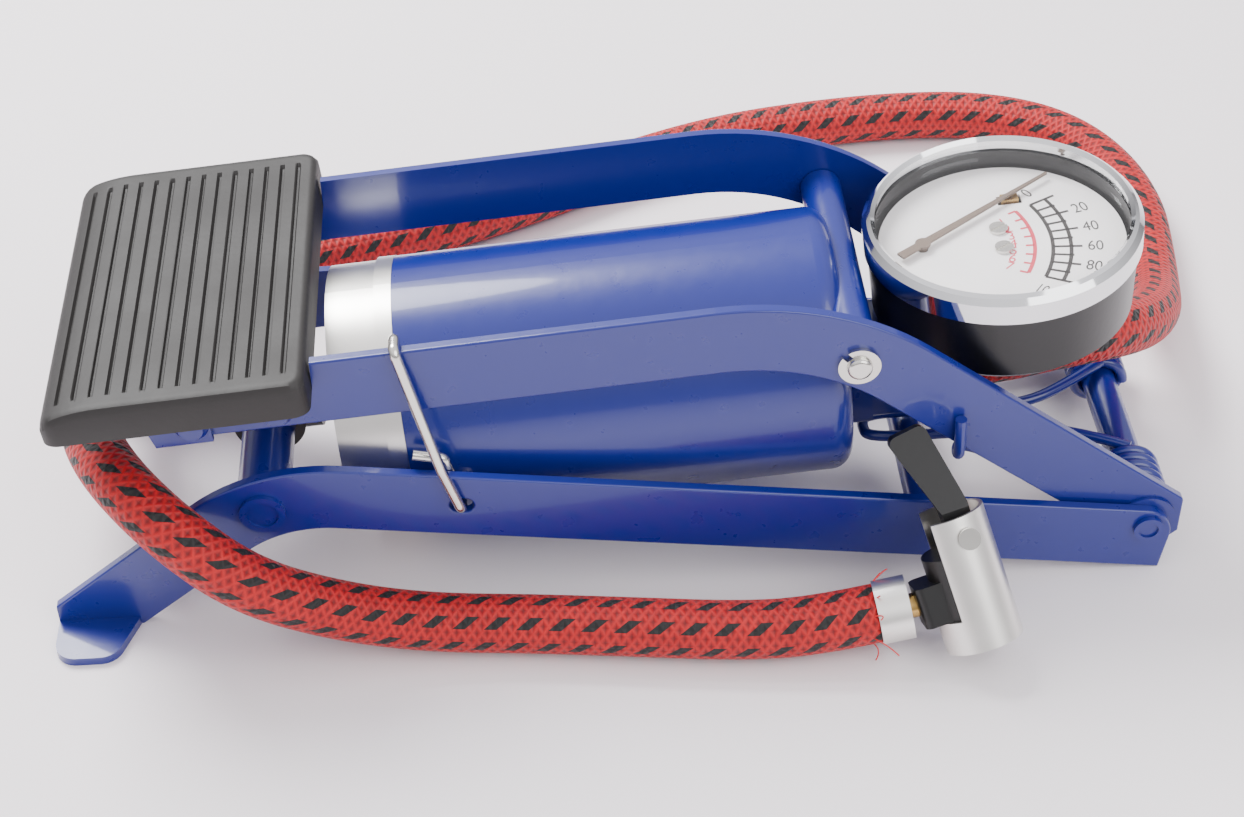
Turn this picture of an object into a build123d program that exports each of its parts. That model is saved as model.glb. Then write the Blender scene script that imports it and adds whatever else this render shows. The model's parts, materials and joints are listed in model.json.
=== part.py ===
from build123d import *

import os
from math import atan2, cos, degrees, radians, sin, tan, hypot

# Foot air pump. X runs along the pump (pedal at -X, frame hinge at +X), Y across it, Z up.
# The origin is on the floor, in the middle of the pump's length and width. Sizes are in mm.

# ---- driving dimensions -------------------------------------------------------------------
frame_width = 66.6
bar_thickness = 2.0
base_depth = 15.5
lever_depth = 15.0
base_slope = 8.0
leg_slope = 39.0
pedal_slope = 5.2
neck_slope = 37.9
hinge_x = 109.0
hinge_z = 11.7
rod_reach = 180.6
rod_axle_z = 29.6
barrel_slope = 5.0
barrel_diameter = 55.0
barrel_wall = 1.0
barrel_open = 30.0
barrel_end = 119.5
collar_length = 13.5
pivot_u = 120.3
pivot_v = 17.9
piston_length = 15.0
rod_diameter = 9.0
axle_diameter = 5.0
rod_axle_diameter = 6.0
gauge_radius = 27.4
gauge_height = 19.0
gauge_u = 153.7
gauge_floor_v = 4.6
pedal_length = 51.5
pedal_width = 77.0
plate_thickness = 1.5
spring_wire = 2.4
spring_mean_radius = 5.2
latch_wire_diameter = 2.2
hose_diameter = 12.0
valve_radius = 3.9

# ---- clearances ---------------------------------------------------------------------------
side_gap = 0.7
running = 0.05
seat = 0.02
face_gap = 0.05
barrel_side_gap = 0.4

# ---- values that follow from them -----------------------------------------------------------
base_outer = frame_width / 2
base_inner = base_outer - bar_thickness
lever_outer = base_inner - side_gap
lever_inner = lever_outer - bar_thickness
rod_axle_x = hinge_x - rod_reach
barrel_radius = barrel_diameter / 2
barrel_bore = barrel_radius - barrel_wall
Y_AXIS = Vector(0, 1, 0)

barrel_along = Vector(cos(radians(barrel_slope)), 0, sin(radians(barrel_slope)))
barrel_up = Vector(-sin(radians(barrel_slope)), 0, cos(radians(barrel_slope)))
rod_axle_point = Vector(rod_axle_x, 0, rod_axle_z)
barrel_plane = Plane(origin=rod_axle_point, x_dir=barrel_along, z_dir=(0, -1, 0))
barrel_axis = Axis(rod_axle_point, barrel_along)


def in_barrel(u, v, y=0.0):
    """A point given along and above the barrel's axis, measured from the rod axle."""
    return rod_axle_point + barrel_along * u + barrel_up * v + Y_AXIS * y


def cross_plane(u):
    """A plane square to the barrel's axis; its local y points up and its normal along the barrel."""
    return Plane(origin=in_barrel(u, 0), x_dir=(0, 1, 0), z_dir=barrel_along)


def meet(p, slope_p, q, slope_q):
    """Where a line through p meets a line through q, both given as x, z and a slope in degrees."""
    a = tan(radians(slope_p))
    b = tan(radians(slope_q))
    x = (q[1] - p[1] + a * p[0] - b * q[0]) / (a - b)
    return (x, p[1] + a * (x - p[0]))


def y_pin(radius, y_from, y_to, x, z):
    """A plain round bar along Y."""
    with BuildPart(Plane.XZ.offset(-y_to)) as pin:
        with BuildSketch(Plane.XZ.offset(-y_to)):
            with Locations((x, z)):
                Circle(radius)
        extrude(amount=y_to - y_from)
    return pin


def tube_along(points, radii, radius):
    """A round rod or hose along straight runs joined by tangent arcs."""
    with BuildPart() as tube:
        with BuildLine() as path:
            FilletPolyline(*points, radius=radii)
        start = path.line @ 0
        with BuildSketch(Plane(origin=start, z_dir=path.line % 0)):
            Circle(radius)
        sweep(path=path.line)
    return tube


# ---- base frame -----------------------------------------------------------------------------
toe_x = hinge_x + 3.7
leg_foot_x = hinge_x - 208.1
foot_front_x = hinge_x - 225.5
foot_front_height = 5.9
foot_reach = 11.0
foot_round = 4.5
foot_slant = 5.0
crest_round = 40.0
crook_round = 24.0
base_end_round = 6.5
latch_x = hinge_x - 141.0
latch_slot_length = 4.8
latch_slot_height = 3.6
base_along = (-cos(radians(base_slope)), sin(radians(base_slope)))
base_normal = (sin(radians(base_slope)), cos(radians(base_slope)))
base_toe = (toe_x, 0.0)
base_heel = (toe_x + base_normal[0] * base_depth, base_normal[1] * base_depth)
base_crook = meet(base_toe, -base_slope, (leg_foot_x, 0.0), leg_slope)
foot_front_top = (foot_front_x, foot_front_height)
base_crest = meet(base_heel, -base_slope, foot_front_top, leg_slope)


def base_line_z(x, height):
    """Height of the base bar's straight part at x, measured up from its lower edge."""
    return (toe_x - x) * tan(radians(base_slope)) + height / cos(radians(base_slope))


latch_z = base_line_z(latch_x, base_depth * 0.52)


def base_bar(side, slotted):
    """One side bar of the base, with its foot turned outwards. side is -1 near, +1 far."""
    with BuildPart() as bar:
        with BuildSketch(Plane.XZ.offset(-side * base_outer)) as outline:
            with BuildLine():
                Polyline(
                    base_toe, base_heel, base_crest, foot_front_top,
                    (foot_front_x, 0.0), (leg_foot_x, 0.0), base_crook, close=True,
                )
            make_face()
            corners = outline.vertices()
            fillet(corners.sort_by_distance(Vector(base_crest[0], base_crest[1]))[0], crest_round)
            corners = outline.vertices()
            fillet(corners.sort_by_distance(Vector(base_crook[0], base_crook[1]))[0], crook_round)
            corners = outline.vertices()
            fillet(corners.sort_by_distance(Vector(base_heel[0], base_heel[1]))[0], base_end_round)
            with Locations((hinge_x, hinge_z)):
                Circle(axle_diameter / 2 + seat, mode=Mode.SUBTRACT)
            with Locations((rod_axle_x, rod_axle_z)):
                Circle(rod_axle_diameter / 2 + seat, mode=Mode.SUBTRACT)
            if slotted:
                with Locations(Location((latch_x, latch_z, 0), (0, 0, -base_slope))):
                    SlotOverall(latch_slot_length, latch_slot_height, mode=Mode.SUBTRACT)
        extrude(amount=side * bar_thickness)
        with BuildSketch(Plane.XY) as foot:
            foot_out = side * (base_outer + foot_reach)
            with BuildLine():
                Polyline(
                    (foot_front_x, side * base_inner), (leg_foot_x, side * base_inner),
                    (leg_foot_x - foot_slant, foot_out), (foot_front_x, foot_out), close=True,
                )
            make_face()
            outer = foot.vertices().group_by(Axis.Y)[-1 if side > 0 else 0]
            fillet(outer, foot_round)
        extrude(amount=bar_thickness)
        rims = bar.edges().filter_by(lambda e: e.length > 5.0).filter_by(
            lambda e: abs(abs(e.center().Y) - base_outer) < 0.01 and e.center().Z > bar_thickness + 0.5
        )
        fillet(rims, 0.45)
    bar.part.label = "base_bar_near" if side < 0 else "base_bar_far"
    return bar


base_bar_near = base_bar(-1, True)
base_bar_far = base_bar(1, False)

# The frame hinge: an axle peened over outside the base bars, with a spacer tube between the lever bars.
hinge_head_radius = 3.1
hinge_ring_radius = 2.0
head_height = 0.9


def peened_axle(name, radius, head_radius, lip_radius, x, z):
    """An axle across the base bars with a dished head on each end."""
    with BuildPart() as axle:
        with BuildSketch(Plane.XZ.offset(-base_outer - face_gap)):
            with Locations((x, z)):
                Circle(radius)
        extrude(amount=2 * (base_outer + face_gap))
        for side in (-1, 1):
            with BuildSketch(Plane.XZ.offset(-side * (base_outer + face_gap))):
                with Locations((x, z)):
                    Circle(head_radius)
            extrude(amount=-side * head_height)
            with BuildSketch(Plane.XZ.offset(-side * (base_outer + face_gap + head_height))):
                with Locations((x, z)):
                    Circle(lip_radius)
            extrude(amount=side * head_height / 2, mode=Mode.SUBTRACT)
    axle.part.label = name
    return axle


hinge_axle = peened_axle("hinge_axle", axle_diameter / 2, hinge_head_radius, hinge_ring_radius, hinge_x, hinge_z)
rod_axle = peened_axle("rod_axle", rod_axle_diameter / 2, 4.6, 3.2, rod_axle_x, rod_axle_z)

hinge_tube_radius = spring_mean_radius - spring_wire / 2 - 0.3
with BuildPart() as hinge_tube:
    with BuildSketch(Plane.XZ.offset(-lever_inner + face_gap)):
        with Locations((hinge_x, hinge_z)):
            Circle(hinge_tube_radius)
            Circle(axle_diameter / 2 + seat, mode=Mode.SUBTRACT)
    extrude(amount=2 * (lever_inner - face_gap))
hinge_tube.part.label = "hinge_tube"

washer_radius = 6.2
with BuildPart() as hinge_washers:
    for side in (-1, 1):
        with BuildSketch(Plane.XZ.offset(-side * (base_inner - face_gap))):
            with Locations((hinge_x, hinge_z)):
                Circle(washer_radius)
                Circle(axle_diameter / 2 + running, mode=Mode.SUBTRACT)
        extrude(amount=side * (side_gap - 2 * face_gap))
hinge_washers.part.label = "hinge_washers"

# The base cross bar, welded between the base bars, is what the spring's middle loop bears on.
cross_bar_radius = 3.5
cross_bar_x = hinge_x - 45.0
cross_bar_z = base_line_z(cross_bar_x, cross_bar_radius + 0.4)
base_cross_bar = y_pin(cross_bar_radius, -base_inner + seat, base_inner - seat, cross_bar_x, cross_bar_z)
base_cross_bar.part.label = "base_cross_bar"

# Spacer tubes on the rod axle keep the rod's eye in the middle.
rod_eye_half = 7.0
rod_spacer_radius = 5.4
with BuildPart() as rod_spacers:
    for side in (-1, 1):
        with BuildSketch(Plane.XZ.offset(-side * (base_inner - seat))):
            with Locations((rod_axle_x, rod_axle_z)):
                Circle(rod_spacer_radius)
                Circle(rod_axle_diameter / 2 + seat, mode=Mode.SUBTRACT)
        extrude(amount=side * (base_inner - seat - rod_eye_half - 2 * face_gap))
rod_spacers.part.label = "rod_spacers"

# ---- lever (upper frame) --------------------------------------------------------------------
crest_line = (hinge_x - 85.0, 65.2)
neck_line = (hinge_x, hinge_z + 1.2)
lever_left_x = hinge_x - 200.0
lever_right_x = hinge_x + 7.5
lever_crest_round = 60.0
lever_end_round = 5.5
pedal_right_x = hinge_x - 168.4
half_lever = lever_depth / 2
pedal_sink = 6.5


def lever_offset(point, slope, distance):
    """A point moved square to a sloping line."""
    return (point[0] - sin(radians(slope)) * distance, point[1] + cos(radians(slope)) * distance)


lever_top_line = lever_offset(crest_line, pedal_slope, half_lever)
lever_low_line = lever_offset(crest_line, pedal_slope, -half_lever)
neck_top_line = lever_offset(neck_line, -neck_slope, half_lever)
neck_low_line = lever_offset(neck_line, -neck_slope, -half_lever)
lever_crest = meet(lever_top_line, pedal_slope, neck_top_line, -neck_slope)
lever_crook = meet(lever_low_line, pedal_slope, neck_low_line, -neck_slope)
seat_line = lever_offset(lever_top_line, pedal_slope, -pedal_sink)


def on_line(line, slope, x):
    """The point of a sloping line at x."""
    return (x, line[1] + tan(radians(slope)) * (x - line[0]))


pivot_point = in_barrel(pivot_u, pivot_v)
pivot_rivet_radius = 2.5
rivet_radius = 2.0
pedal_along = Vector(cos(radians(pedal_slope)), 0, sin(radians(pedal_slope)))
pedal_up = Vector(-sin(radians(pedal_slope)), 0, cos(radians(pedal_slope)))
pedal_corner = on_line(lever_top_line, pedal_slope, pedal_right_x)
pedal_origin = Vector(pedal_corner[0], 0, pedal_corner[1])
pedal_plane = Plane(origin=pedal_origin, x_dir=pedal_along, z_dir=(0, -1, 0))
rivet_spots = ((-24.5, -11.0), (-8.0, -11.0))


def on_pedal(u, v, y=0.0):
    """A point given along and above the pedal's seat, from the pedal's right end."""
    return pedal_origin + pedal_along * u + pedal_up * v + Y_AXIS * y


def lever_bar(side):
    """One side bar of the lever, cranked over the barrel's end and down to the hinge."""
    step_x = pedal_right_x + 0.6
    seat_right = on_line(seat_line, pedal_slope, step_x)
    seat_left = on_line(seat_line, pedal_slope, lever_left_x)
    low_left = on_line(lever_low_line, pedal_slope, lever_left_x)
    end_top = on_line(neck_top_line, -neck_slope, lever_right_x)
    end_low = (lever_right_x, hinge_z - 4.0)
    low_right = on_line(neck_low_line, -neck_slope, hinge_x + 1.5)
    with BuildPart() as bar:
        with BuildSketch(Plane.XZ.offset(-side * lever_outer)) as outline:
            with BuildLine():
                Polyline(
                    on_line(lever_top_line, pedal_slope, step_x), lever_crest, end_top, end_low, low_right,
                    lever_crook, low_left, seat_left, seat_right, close=True,
                )
            make_face()
            corners = outline.vertices()
            fillet(corners.sort_by_distance(Vector(lever_crest[0], lever_crest[1]))[0], lever_crest_round)
            corners = outline.vertices()
            crook_fillet = lever_crest_round - lever_depth
            fillet(corners.sort_by_distance(Vector(lever_crook[0], lever_crook[1]))[0], crook_fillet)
            corners = outline.vertices()
            fillet(corners.sort_by_distance(Vector(low_right[0], low_right[1]))[0], lever_end_round)
            corners = outline.vertices()
            fillet(corners.sort_by_distance(Vector(end_top[0], end_top[1]))[0], 1.2)
            with Locations((hinge_x, hinge_z)):
                Circle(axle_diameter / 2 + running, mode=Mode.SUBTRACT)
            with Locations((pivot_point.X, pivot_point.Z)):
                Circle(pivot_rivet_radius + seat, mode=Mode.SUBTRACT)
            for u, v in rivet_spots:
                spot = on_pedal(u, v)
                with Locations((spot.X, spot.Z)):
                    Circle(rivet_radius + seat, mode=Mode.SUBTRACT)
        extrude(amount=side * bar_thickness)
        rims = bar.edges().filter_by(lambda e: e.length > 6.0).filter_by(
            lambda e: abs(abs(e.center().Y) - lever_outer) < 0.01
        )
        rims = rims.filter_by(
            lambda e: e.center().X > step_x + 1.0
            and hypot(e.center().X - hinge_x, e.center().Z - hinge_z) > axle_diameter
            and hypot(e.center().X - pivot_point.X, e.center().Z - pivot_point.Z) > pivot_rivet_radius
        )
        fillet(rims, 0.45)
    bar.part.label = "lever_bar_near" if side < 0 else "lever_bar_far"
    return bar


lever_bar_near = lever_bar(-1)
lever_bar_far = lever_bar(1)

# Pedal plate: a pressed steel plate on the lever bars, with ears turned down outside them.
pad_rim = 3.6
plate_left = -pedal_length + 6.5
plate_right = -3.0
plate_half = pedal_width / 2 - pad_rim - 0.1
ear_left = -34.5
ear_right = -21.0
ear_thickness = 1.2
ear_gap = 0.05
ear_drop = lever_depth + 0.4
ear_outer = lever_outer + ear_gap + ear_thickness
with BuildPart() as pedal_plate:
    with BuildSketch(pedal_plane):
        with Locations(((plate_left + plate_right) / 2, -pedal_sink + plate_thickness / 2 + seat)):
            Rectangle(plate_right - plate_left, plate_thickness)
    extrude(amount=plate_half, both=True)
    for side in (-1, 1):
        ear_plane = Plane(origin=on_pedal(0, 0, side * (lever_outer + ear_gap)), x_dir=pedal_along, z_dir=(0, -1, 0))
        with BuildSketch(ear_plane):
            with BuildLine():
                Polyline(
                    (ear_left, -pedal_sink + plate_thickness / 2), (ear_right, -pedal_sink + plate_thickness / 2),
                    (ear_right, -ear_drop), (ear_left + 2.2, -ear_drop), close=True,
                )
            make_face()
            with Locations(rivet_spots[0]):
                Circle(rivet_radius + seat, mode=Mode.SUBTRACT)
        extrude(amount=-side * ear_thickness)
pedal_plate.part.label = "pedal_plate"

# Inner brackets under the plate, one against the inside of each lever bar.
bracket_thickness = 1.5
with BuildPart() as pedal_brackets:
    for side in (-1, 1):
        bracket_origin = on_pedal(0, 0, side * (lever_inner - face_gap))
        bracket_plane = Plane(origin=bracket_origin, x_dir=pedal_along, z_dir=(0, -1, 0))
        with BuildSketch(bracket_plane):
            with Locations(((ear_left + plate_right) / 2 + 1.5, -pedal_sink - 4.2)):
                Rectangle(plate_right - ear_left - 3.0, 8.2)
            for u, v in rivet_spots:
                with Locations((u, v)):
                    Circle(rivet_radius + seat, mode=Mode.SUBTRACT)
        extrude(amount=side * bracket_thickness)
pedal_brackets.part.label = "pedal_brackets"

rivet_head_radius = 3.4
rivet_head_height = 1.3
with BuildPart() as pedal_rivets:
    for side in (-1, 1):
        inner = lever_inner - face_gap - bracket_thickness - face_gap
        for (u, v), outer in zip(rivet_spots, (ear_outer, lever_outer)):
            start = on_pedal(u, v, side * inner)
            plane = Plane(origin=start, x_dir=pedal_along, z_dir=(0, side, 0))
            with BuildSketch(plane):
                Circle(rivet_radius)
            extrude(amount=outer + face_gap - inner)
            with BuildSketch(plane.offset(outer + face_gap - inner)):
                Circle(rivet_head_radius)
            extrude(amount=rivet_head_height, taper=38)
            with BuildSketch(plane):
                Circle(rivet_head_radius * 0.9)
            extrude(amount=-rivet_head_height * 0.7)
pedal_rivets.part.label = "pedal_rivets"

# Pedal pad: a moulded rubber cover whose rim wraps the plate's edge and whose toe end rolls down.
pad_top = 1.5
pad_low = -6.35
pad_roll = -pedal_length + 13.0
with BuildPart() as pedal_pad:
    with BuildSketch(pedal_plane) as side_view:
        with BuildLine():
            top = Line((0.0, pad_top - 1.3), (0.0, pad_low))
            under = Line((0.0, pad_low), (-pedal_length, pad_low))
            nose = Line((-pedal_length, pad_low), (-pedal_length, pad_low + 2.4))
            roll = TangentArc((-pedal_length, pad_low + 2.4), (pad_roll, pad_top), tangent=(0, 1))
            crown = Line(roll @ 1, (-1.3, pad_top))
            RadiusArc(crown @ 1, top @ 0, 1.3)
        make_face()
    extrude(amount=pedal_width / 2, both=True)
    corners = pedal_pad.edges().filter_by(lambda e: abs(abs(e.center().Y) - pedal_width / 2) < 0.01)
    upper = corners.filter_by(lambda e: (e.center() - pedal_origin).dot(pedal_up) > pad_low + 0.5)
    chamfer(upper.filter_by(lambda e: e.length > 6.0), 0.9)
    with BuildSketch(pedal_plane):
        with Locations(((plate_left + plate_right) / 2, (pad_low - 0.5 - pedal_sink + plate_thickness + 0.1) / 2)):
            Rectangle(plate_right - plate_left + 0.2, -pedal_sink + plate_thickness + 0.1 - pad_low + 0.5)
    extrude(amount=plate_half + 0.1, both=True, mode=Mode.SUBTRACT)
pedal_pad.part.label = "pedal_pad"

# Pivot rivets hold the barrel's cross tube between the lever bars; push washers lock them outside.
push_washer_radius = 4.2
push_washer_thickness = 0.9
pivot_dome = 1.2
with BuildPart() as pivot_rivets:
    for side in (-1, 1):
        start = Vector(pivot_point.X, side * (lever_inner + 0.05), pivot_point.Z)
        plane = Plane(origin=start, x_dir=(1, 0, 0), z_dir=(0, side, 0))
        with BuildSketch(plane):
            Circle(pivot_rivet_radius)
        shank = bar_thickness + face_gap + push_washer_thickness + pivot_dome
        extrude(amount=shank)
        rims = pivot_rivets.edges().filter_by(GeomType.CIRCLE)
        tip = rims.filter_by(lambda e: abs(e.center().Y - start.Y - side * shank) < 0.01)
        fillet(tip, 0.9)
pivot_rivets.part.label = "pivot_rivets"

with BuildPart() as push_washers:
    for side in (-1, 1):
        start = Vector(pivot_point.X, side * (lever_outer + face_gap), pivot_point.Z)
        plane = Plane(origin=start, x_dir=(1, 0, 0), z_dir=(0, side, 0))
        with BuildSketch(plane):
            Circle(push_washer_radius)
            Circle(pivot_rivet_radius + seat, mode=Mode.SUBTRACT)
            notch_turn = 135 if side > 0 else 135
            with PolarLocations(push_washer_radius, 1, start_angle=notch_turn):
                Rectangle(3.0, 1.5, mode=Mode.SUBTRACT)
        extrude(amount=push_washer_thickness)
push_washers.part.label = "push_washers"

# ---- barrel ---------------------------------------------------------------------------------
pivot_tube_radius = 4.3
head_round = 4.5
head_wall = 1.6
pivot_tube_half = lever_inner - 0.3


def barrel_profile(points):
    """A section to be turned about the barrel's axis, from corner points (u, v)."""
    with BuildSketch(barrel_plane) as section:
        with BuildLine():
            Polyline(*points, close=True)
        make_face()
    return section.sketch


with BuildPart() as barrel_shell:
    with BuildSketch(barrel_plane) as wall:
        with BuildLine():
            Polyline(
                (barrel_open, barrel_bore), (barrel_open, barrel_radius), (barrel_end, barrel_radius),
                (barrel_end, 0), (barrel_end - head_wall, 0), (barrel_end - head_wall, barrel_bore), close=True,
            )
        make_face()
        outer_corner = barrel_plane.to_local_coords(in_barrel(barrel_end, barrel_radius))
        fillet(wall.vertices().sort_by_distance(outer_corner)[0], head_round)
        inner_corner = barrel_plane.to_local_coords(in_barrel(barrel_end - head_wall, barrel_bore))
        fillet(wall.vertices().sort_by_distance(inner_corner)[0], head_round - barrel_wall)
    revolve(axis=barrel_axis)
    with BuildSketch(barrel_plane):
        with Locations((pivot_u, pivot_v)):
            Circle(pivot_tube_radius + seat)
    extrude(amount=barrel_radius, both=True, mode=Mode.SUBTRACT)
    with BuildSketch(cross_plane(barrel_end - head_wall - 1)):
        with Locations((0, -8.0)):
            Circle(3.0)
    extrude(amount=head_wall + 2, mode=Mode.SUBTRACT)
barrel_shell.part.label = "barrel_shell"

with BuildPart() as pivot_tube:
    with BuildSketch(barrel_plane):
        with Locations((pivot_u, pivot_v)):
            Circle(pivot_tube_radius)
            Circle(pivot_rivet_radius + running, mode=Mode.SUBTRACT)
    extrude(amount=pivot_tube_half, both=True)
pivot_tube.part.label = "pivot_tube"

pivot_core = y_pin(pivot_rivet_radius, -lever_inner + 0.45, lever_inner - 0.45, pivot_point.X, pivot_point.Z)
pivot_core.part.label = "pivot_pin"

# Zinc-plated end cap on the barrel's open end, with a spigot inside the shell and a raised lip.
collar_start = barrel_open - collar_length
collar_radius = barrel_radius - 0.5
lip_width = 3.6
spigot_length = 6.0
collar_wall = 1.0
guide_radius = 8.0
with BuildPart() as end_collar:
    revolve(barrel_profile((
        (collar_start, guide_radius + seat), (collar_start, collar_radius),
        (barrel_open - lip_width, collar_radius), (barrel_open - lip_width, barrel_radius + 0.1),
        (barrel_open - face_gap, barrel_radius + 0.1), (barrel_open - face_gap, barrel_bore - seat),
        (barrel_open + spigot_length, barrel_bore - seat),
        (barrel_open + spigot_length, barrel_bore - seat - collar_wall),
        (collar_start + collar_wall, barrel_bore - seat - collar_wall),
        (collar_start + collar_wall, guide_radius + seat),
    )), axis=barrel_axis)
    with BuildSketch(cross_plane(collar_start - 1)):
        with PolarLocations(17.5, 6):
            Circle(2.2)
    extrude(amount=collar_wall + 2, mode=Mode.SUBTRACT)
end_collar.part.label = "end_collar"

rod_radius = rod_diameter / 2
with BuildPart() as rod_guide:
    revolve(barrel_profile((
        (collar_start - 1.5, rod_radius + running), (collar_start - 1.5, guide_radius - 1.0),
        (collar_start - face_gap, guide_radius + 1.2), (collar_start - face_gap, guide_radius),
        (collar_start + 8.0, guide_radius), (collar_start + 8.0, rod_radius + running),
    )), axis=barrel_axis)
rod_guide.part.label = "rod_guide"

# ---- rod and piston -------------------------------------------------------------------------
piston_face = barrel_end - pivot_tube_radius - 1.5
piston_back = piston_face - piston_length
eye_radius = 7.5
eye_end = 9.0
with BuildPart() as rod_eye:
    with BuildSketch(barrel_plane):
        Circle(eye_radius)
        Circle(rod_axle_diameter / 2 + running, mode=Mode.SUBTRACT)
    extrude(amount=rod_eye_half, both=True)
    with BuildSketch(cross_plane(eye_radius - 1.5)):
        Circle(rod_radius + 1.4)
    extrude(amount=eye_end - eye_radius + 3.0)
    with BuildSketch(cross_plane(eye_radius - 1.0)):
        Circle(rod_radius + seat)
    extrude(amount=eye_end, mode=Mode.SUBTRACT)
rod_eye.part.label = "rod_eye"

with BuildPart() as piston_rod:
    with BuildSketch(cross_plane(eye_radius - 0.9)):
        Circle(rod_radius)
    extrude(amount=piston_back - 2.0 - eye_radius + 0.9)
    with BuildSketch(cross_plane(piston_back - 2.0)):
        Circle(3.0)
    extrude(amount=piston_length + 1.0)
piston_rod.part.label = "piston_rod"

cup_wall = 1.6
with BuildPart() as piston:
    revolve(barrel_profile((
        (piston_back, 3.0 + seat), (piston_back, barrel_bore - 0.5), (piston_back + 5.0, barrel_bore - 0.5),
        (piston_back + 5.0, barrel_bore - 4.0), (piston_back + 9.0, barrel_bore - 4.0),
        (piston_back + 9.0, 3.0 + seat),
    )), axis=barrel_axis)
piston.part.label = "piston"

with BuildPart() as piston_cup:
    revolve(barrel_profile((
        (piston_back + 9.0 + face_gap, 3.0 + seat), (piston_back + 9.0 + face_gap, barrel_bore - 3.9 + cup_wall),
        (piston_back + 5.2, barrel_bore - 3.9 + cup_wall), (piston_back + 5.2, barrel_bore - running),
        (piston_face - 0.6, barrel_bore - running), (piston_face - 0.6, barrel_bore - running - cup_wall),
        (piston_back + 9.0 + cup_wall, barrel_bore - running - cup_wall),
        (piston_back + 9.0 + cup_wall, 3.0 + seat),
    )), axis=barrel_axis)
piston_cup.part.label = "piston_cup"

nut_height = 2.2
with BuildPart() as piston_nut:
    with BuildSketch(cross_plane(piston_back + 9.0 + cup_wall + face_gap)):
        RegularPolygon(5.5, 6)
        Circle(3.0 + seat, mode=Mode.SUBTRACT)
    extrude(amount=nut_height)
piston_nut.part.label = "piston_nut"

# ---- outlet block, check valve and gauge ----------------------------------------------------
block_half = 9.0
block_low = -18.0
block_high = 11.0
block_front = barrel_end + face_gap
saddle_end = 125.2
block_end = 133.0
neck_half = 7.5
neck_high = 3.6
neck_low = -3.4
neck_end = 162.0
nipple_v = -10.8
port_radius = 2.5
passage_radius = 1.5
ball_radius = 2.2
chamber_radius = 3.6
chamber_start = block_front + 3.0
plug_start = 131.5
stem_radius = 2.5
movement_low = 4.5
with BuildPart() as outlet_block:
    with BuildSketch(cross_plane(block_front)):
        with Locations((0, (block_high + block_low) / 2)):
            RectangleRounded(2 * block_half, block_high - block_low, 2.0)
    extrude(amount=saddle_end - block_front)
    with BuildSketch(cross_plane(saddle_end - 0.5)):
        with Locations((0, (neck_high + block_low) / 2)):
            RectangleRounded(2 * neck_half, neck_high - block_low, 2.0)
    extrude(amount=block_end - saddle_end + 0.5)
    with BuildSketch(cross_plane(block_end - 1.0)):
        with Locations((0, (neck_high + neck_low) / 2)):
            RectangleRounded(2 * neck_half, neck_high - neck_low, 2.0)
    extrude(amount=neck_end - block_end + 1.0)
    with BuildSketch(barrel_plane):
        with Locations((pivot_u, pivot_v)):
            Circle(pivot_tube_radius + 3.5)
    extrude(amount=block_half + 1, both=True, mode=Mode.SUBTRACT)
    with BuildSketch(cross_plane(block_front - 1)):
        with Locations((0, nipple_v)):
            Circle(passage_radius)
    extrude(amount=6.0, mode=Mode.SUBTRACT)
    with BuildSketch(cross_plane(chamber_start)):
        with Locations((0, nipple_v)):
            Circle(chamber_radius)
    extrude(amount=block_end, mode=Mode.SUBTRACT)
    stem_plane = Plane(origin=in_barrel(gauge_u, 0), x_dir=barrel_along, z_dir=barrel_up)
    with BuildSketch(stem_plane):
        Circle(stem_radius + seat)
    extrude(amount=neck_high + 2.0, mode=Mode.SUBTRACT)
    riser_plane = Plane(origin=in_barrel(plug_start - 2.0, nipple_v), x_dir=barrel_along, z_dir=barrel_up)
    with BuildSketch(riser_plane):
        Circle(passage_radius)
    extrude(amount=-nipple_v, mode=Mode.SUBTRACT)
    with BuildSketch(cross_plane(plug_start - 2.0)):
        Circle(passage_radius)
    extrude(amount=gauge_u - plug_start + 2.0, mode=Mode.SUBTRACT)
outlet_block.part.label = "outlet_block"

with BuildPart() as check_ball:
    with Locations(Location(in_barrel(chamber_start + ball_radius + 0.1, nipple_v))):
        Sphere(ball_radius)
check_ball.part.label = "check_ball"

check_spring_start = chamber_start + 2 * ball_radius + 0.2
with BuildPart() as check_spring:
    with BuildSketch(cross_plane(check_spring_start)):
        with Locations((0, nipple_v)):
            Circle(chamber_radius - seat)
            Circle(ball_radius + 0.2, mode=Mode.SUBTRACT)
    extrude(amount=plug_start - check_spring_start - face_gap)
check_spring.part.label = "check_spring"

stem_shoulder = gauge_floor_v - neck_high
with BuildPart() as gauge_stem:
    with BuildSketch(stem_plane.offset(0.2)):
        Circle(stem_radius)
    extrude(amount=gauge_floor_v + movement_low - 0.25)
    with BuildSketch(stem_plane.offset(neck_high + seat)):
        RegularPolygon(4.6, 6)
    extrude(amount=stem_shoulder - 2 * seat)
gauge_stem.part.label = "gauge_stem"

# Everything in the gauge is turned about its own axis, square to the barrel.
gauge_base = Plane(origin=in_barrel(gauge_u, gauge_floor_v), x_dir=barrel_along, z_dir=barrel_up)
gauge_axis = Axis(in_barrel(gauge_u, 0), barrel_up)
gauge_side = Plane(origin=in_barrel(gauge_u, gauge_floor_v), x_dir=barrel_along, z_dir=(0, -1, 0))
housing_wall = 1.6
dial_height = gauge_height - 4.2
dial_thickness = 0.6
lens_height = gauge_height + 0.3
lens_thickness = 1.4
bezel_rise = 3.6
bezel_radius = gauge_radius + 0.7
bezel_inner = gauge_radius - 1.9


def gauge_profile(points):
    """A section to be turned about the gauge's axis, from corner points (radius, height)."""
    with BuildSketch(gauge_side) as section:
        with BuildLine():
            Polyline(*points, close=True)
        make_face()
    return section.sketch


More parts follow.
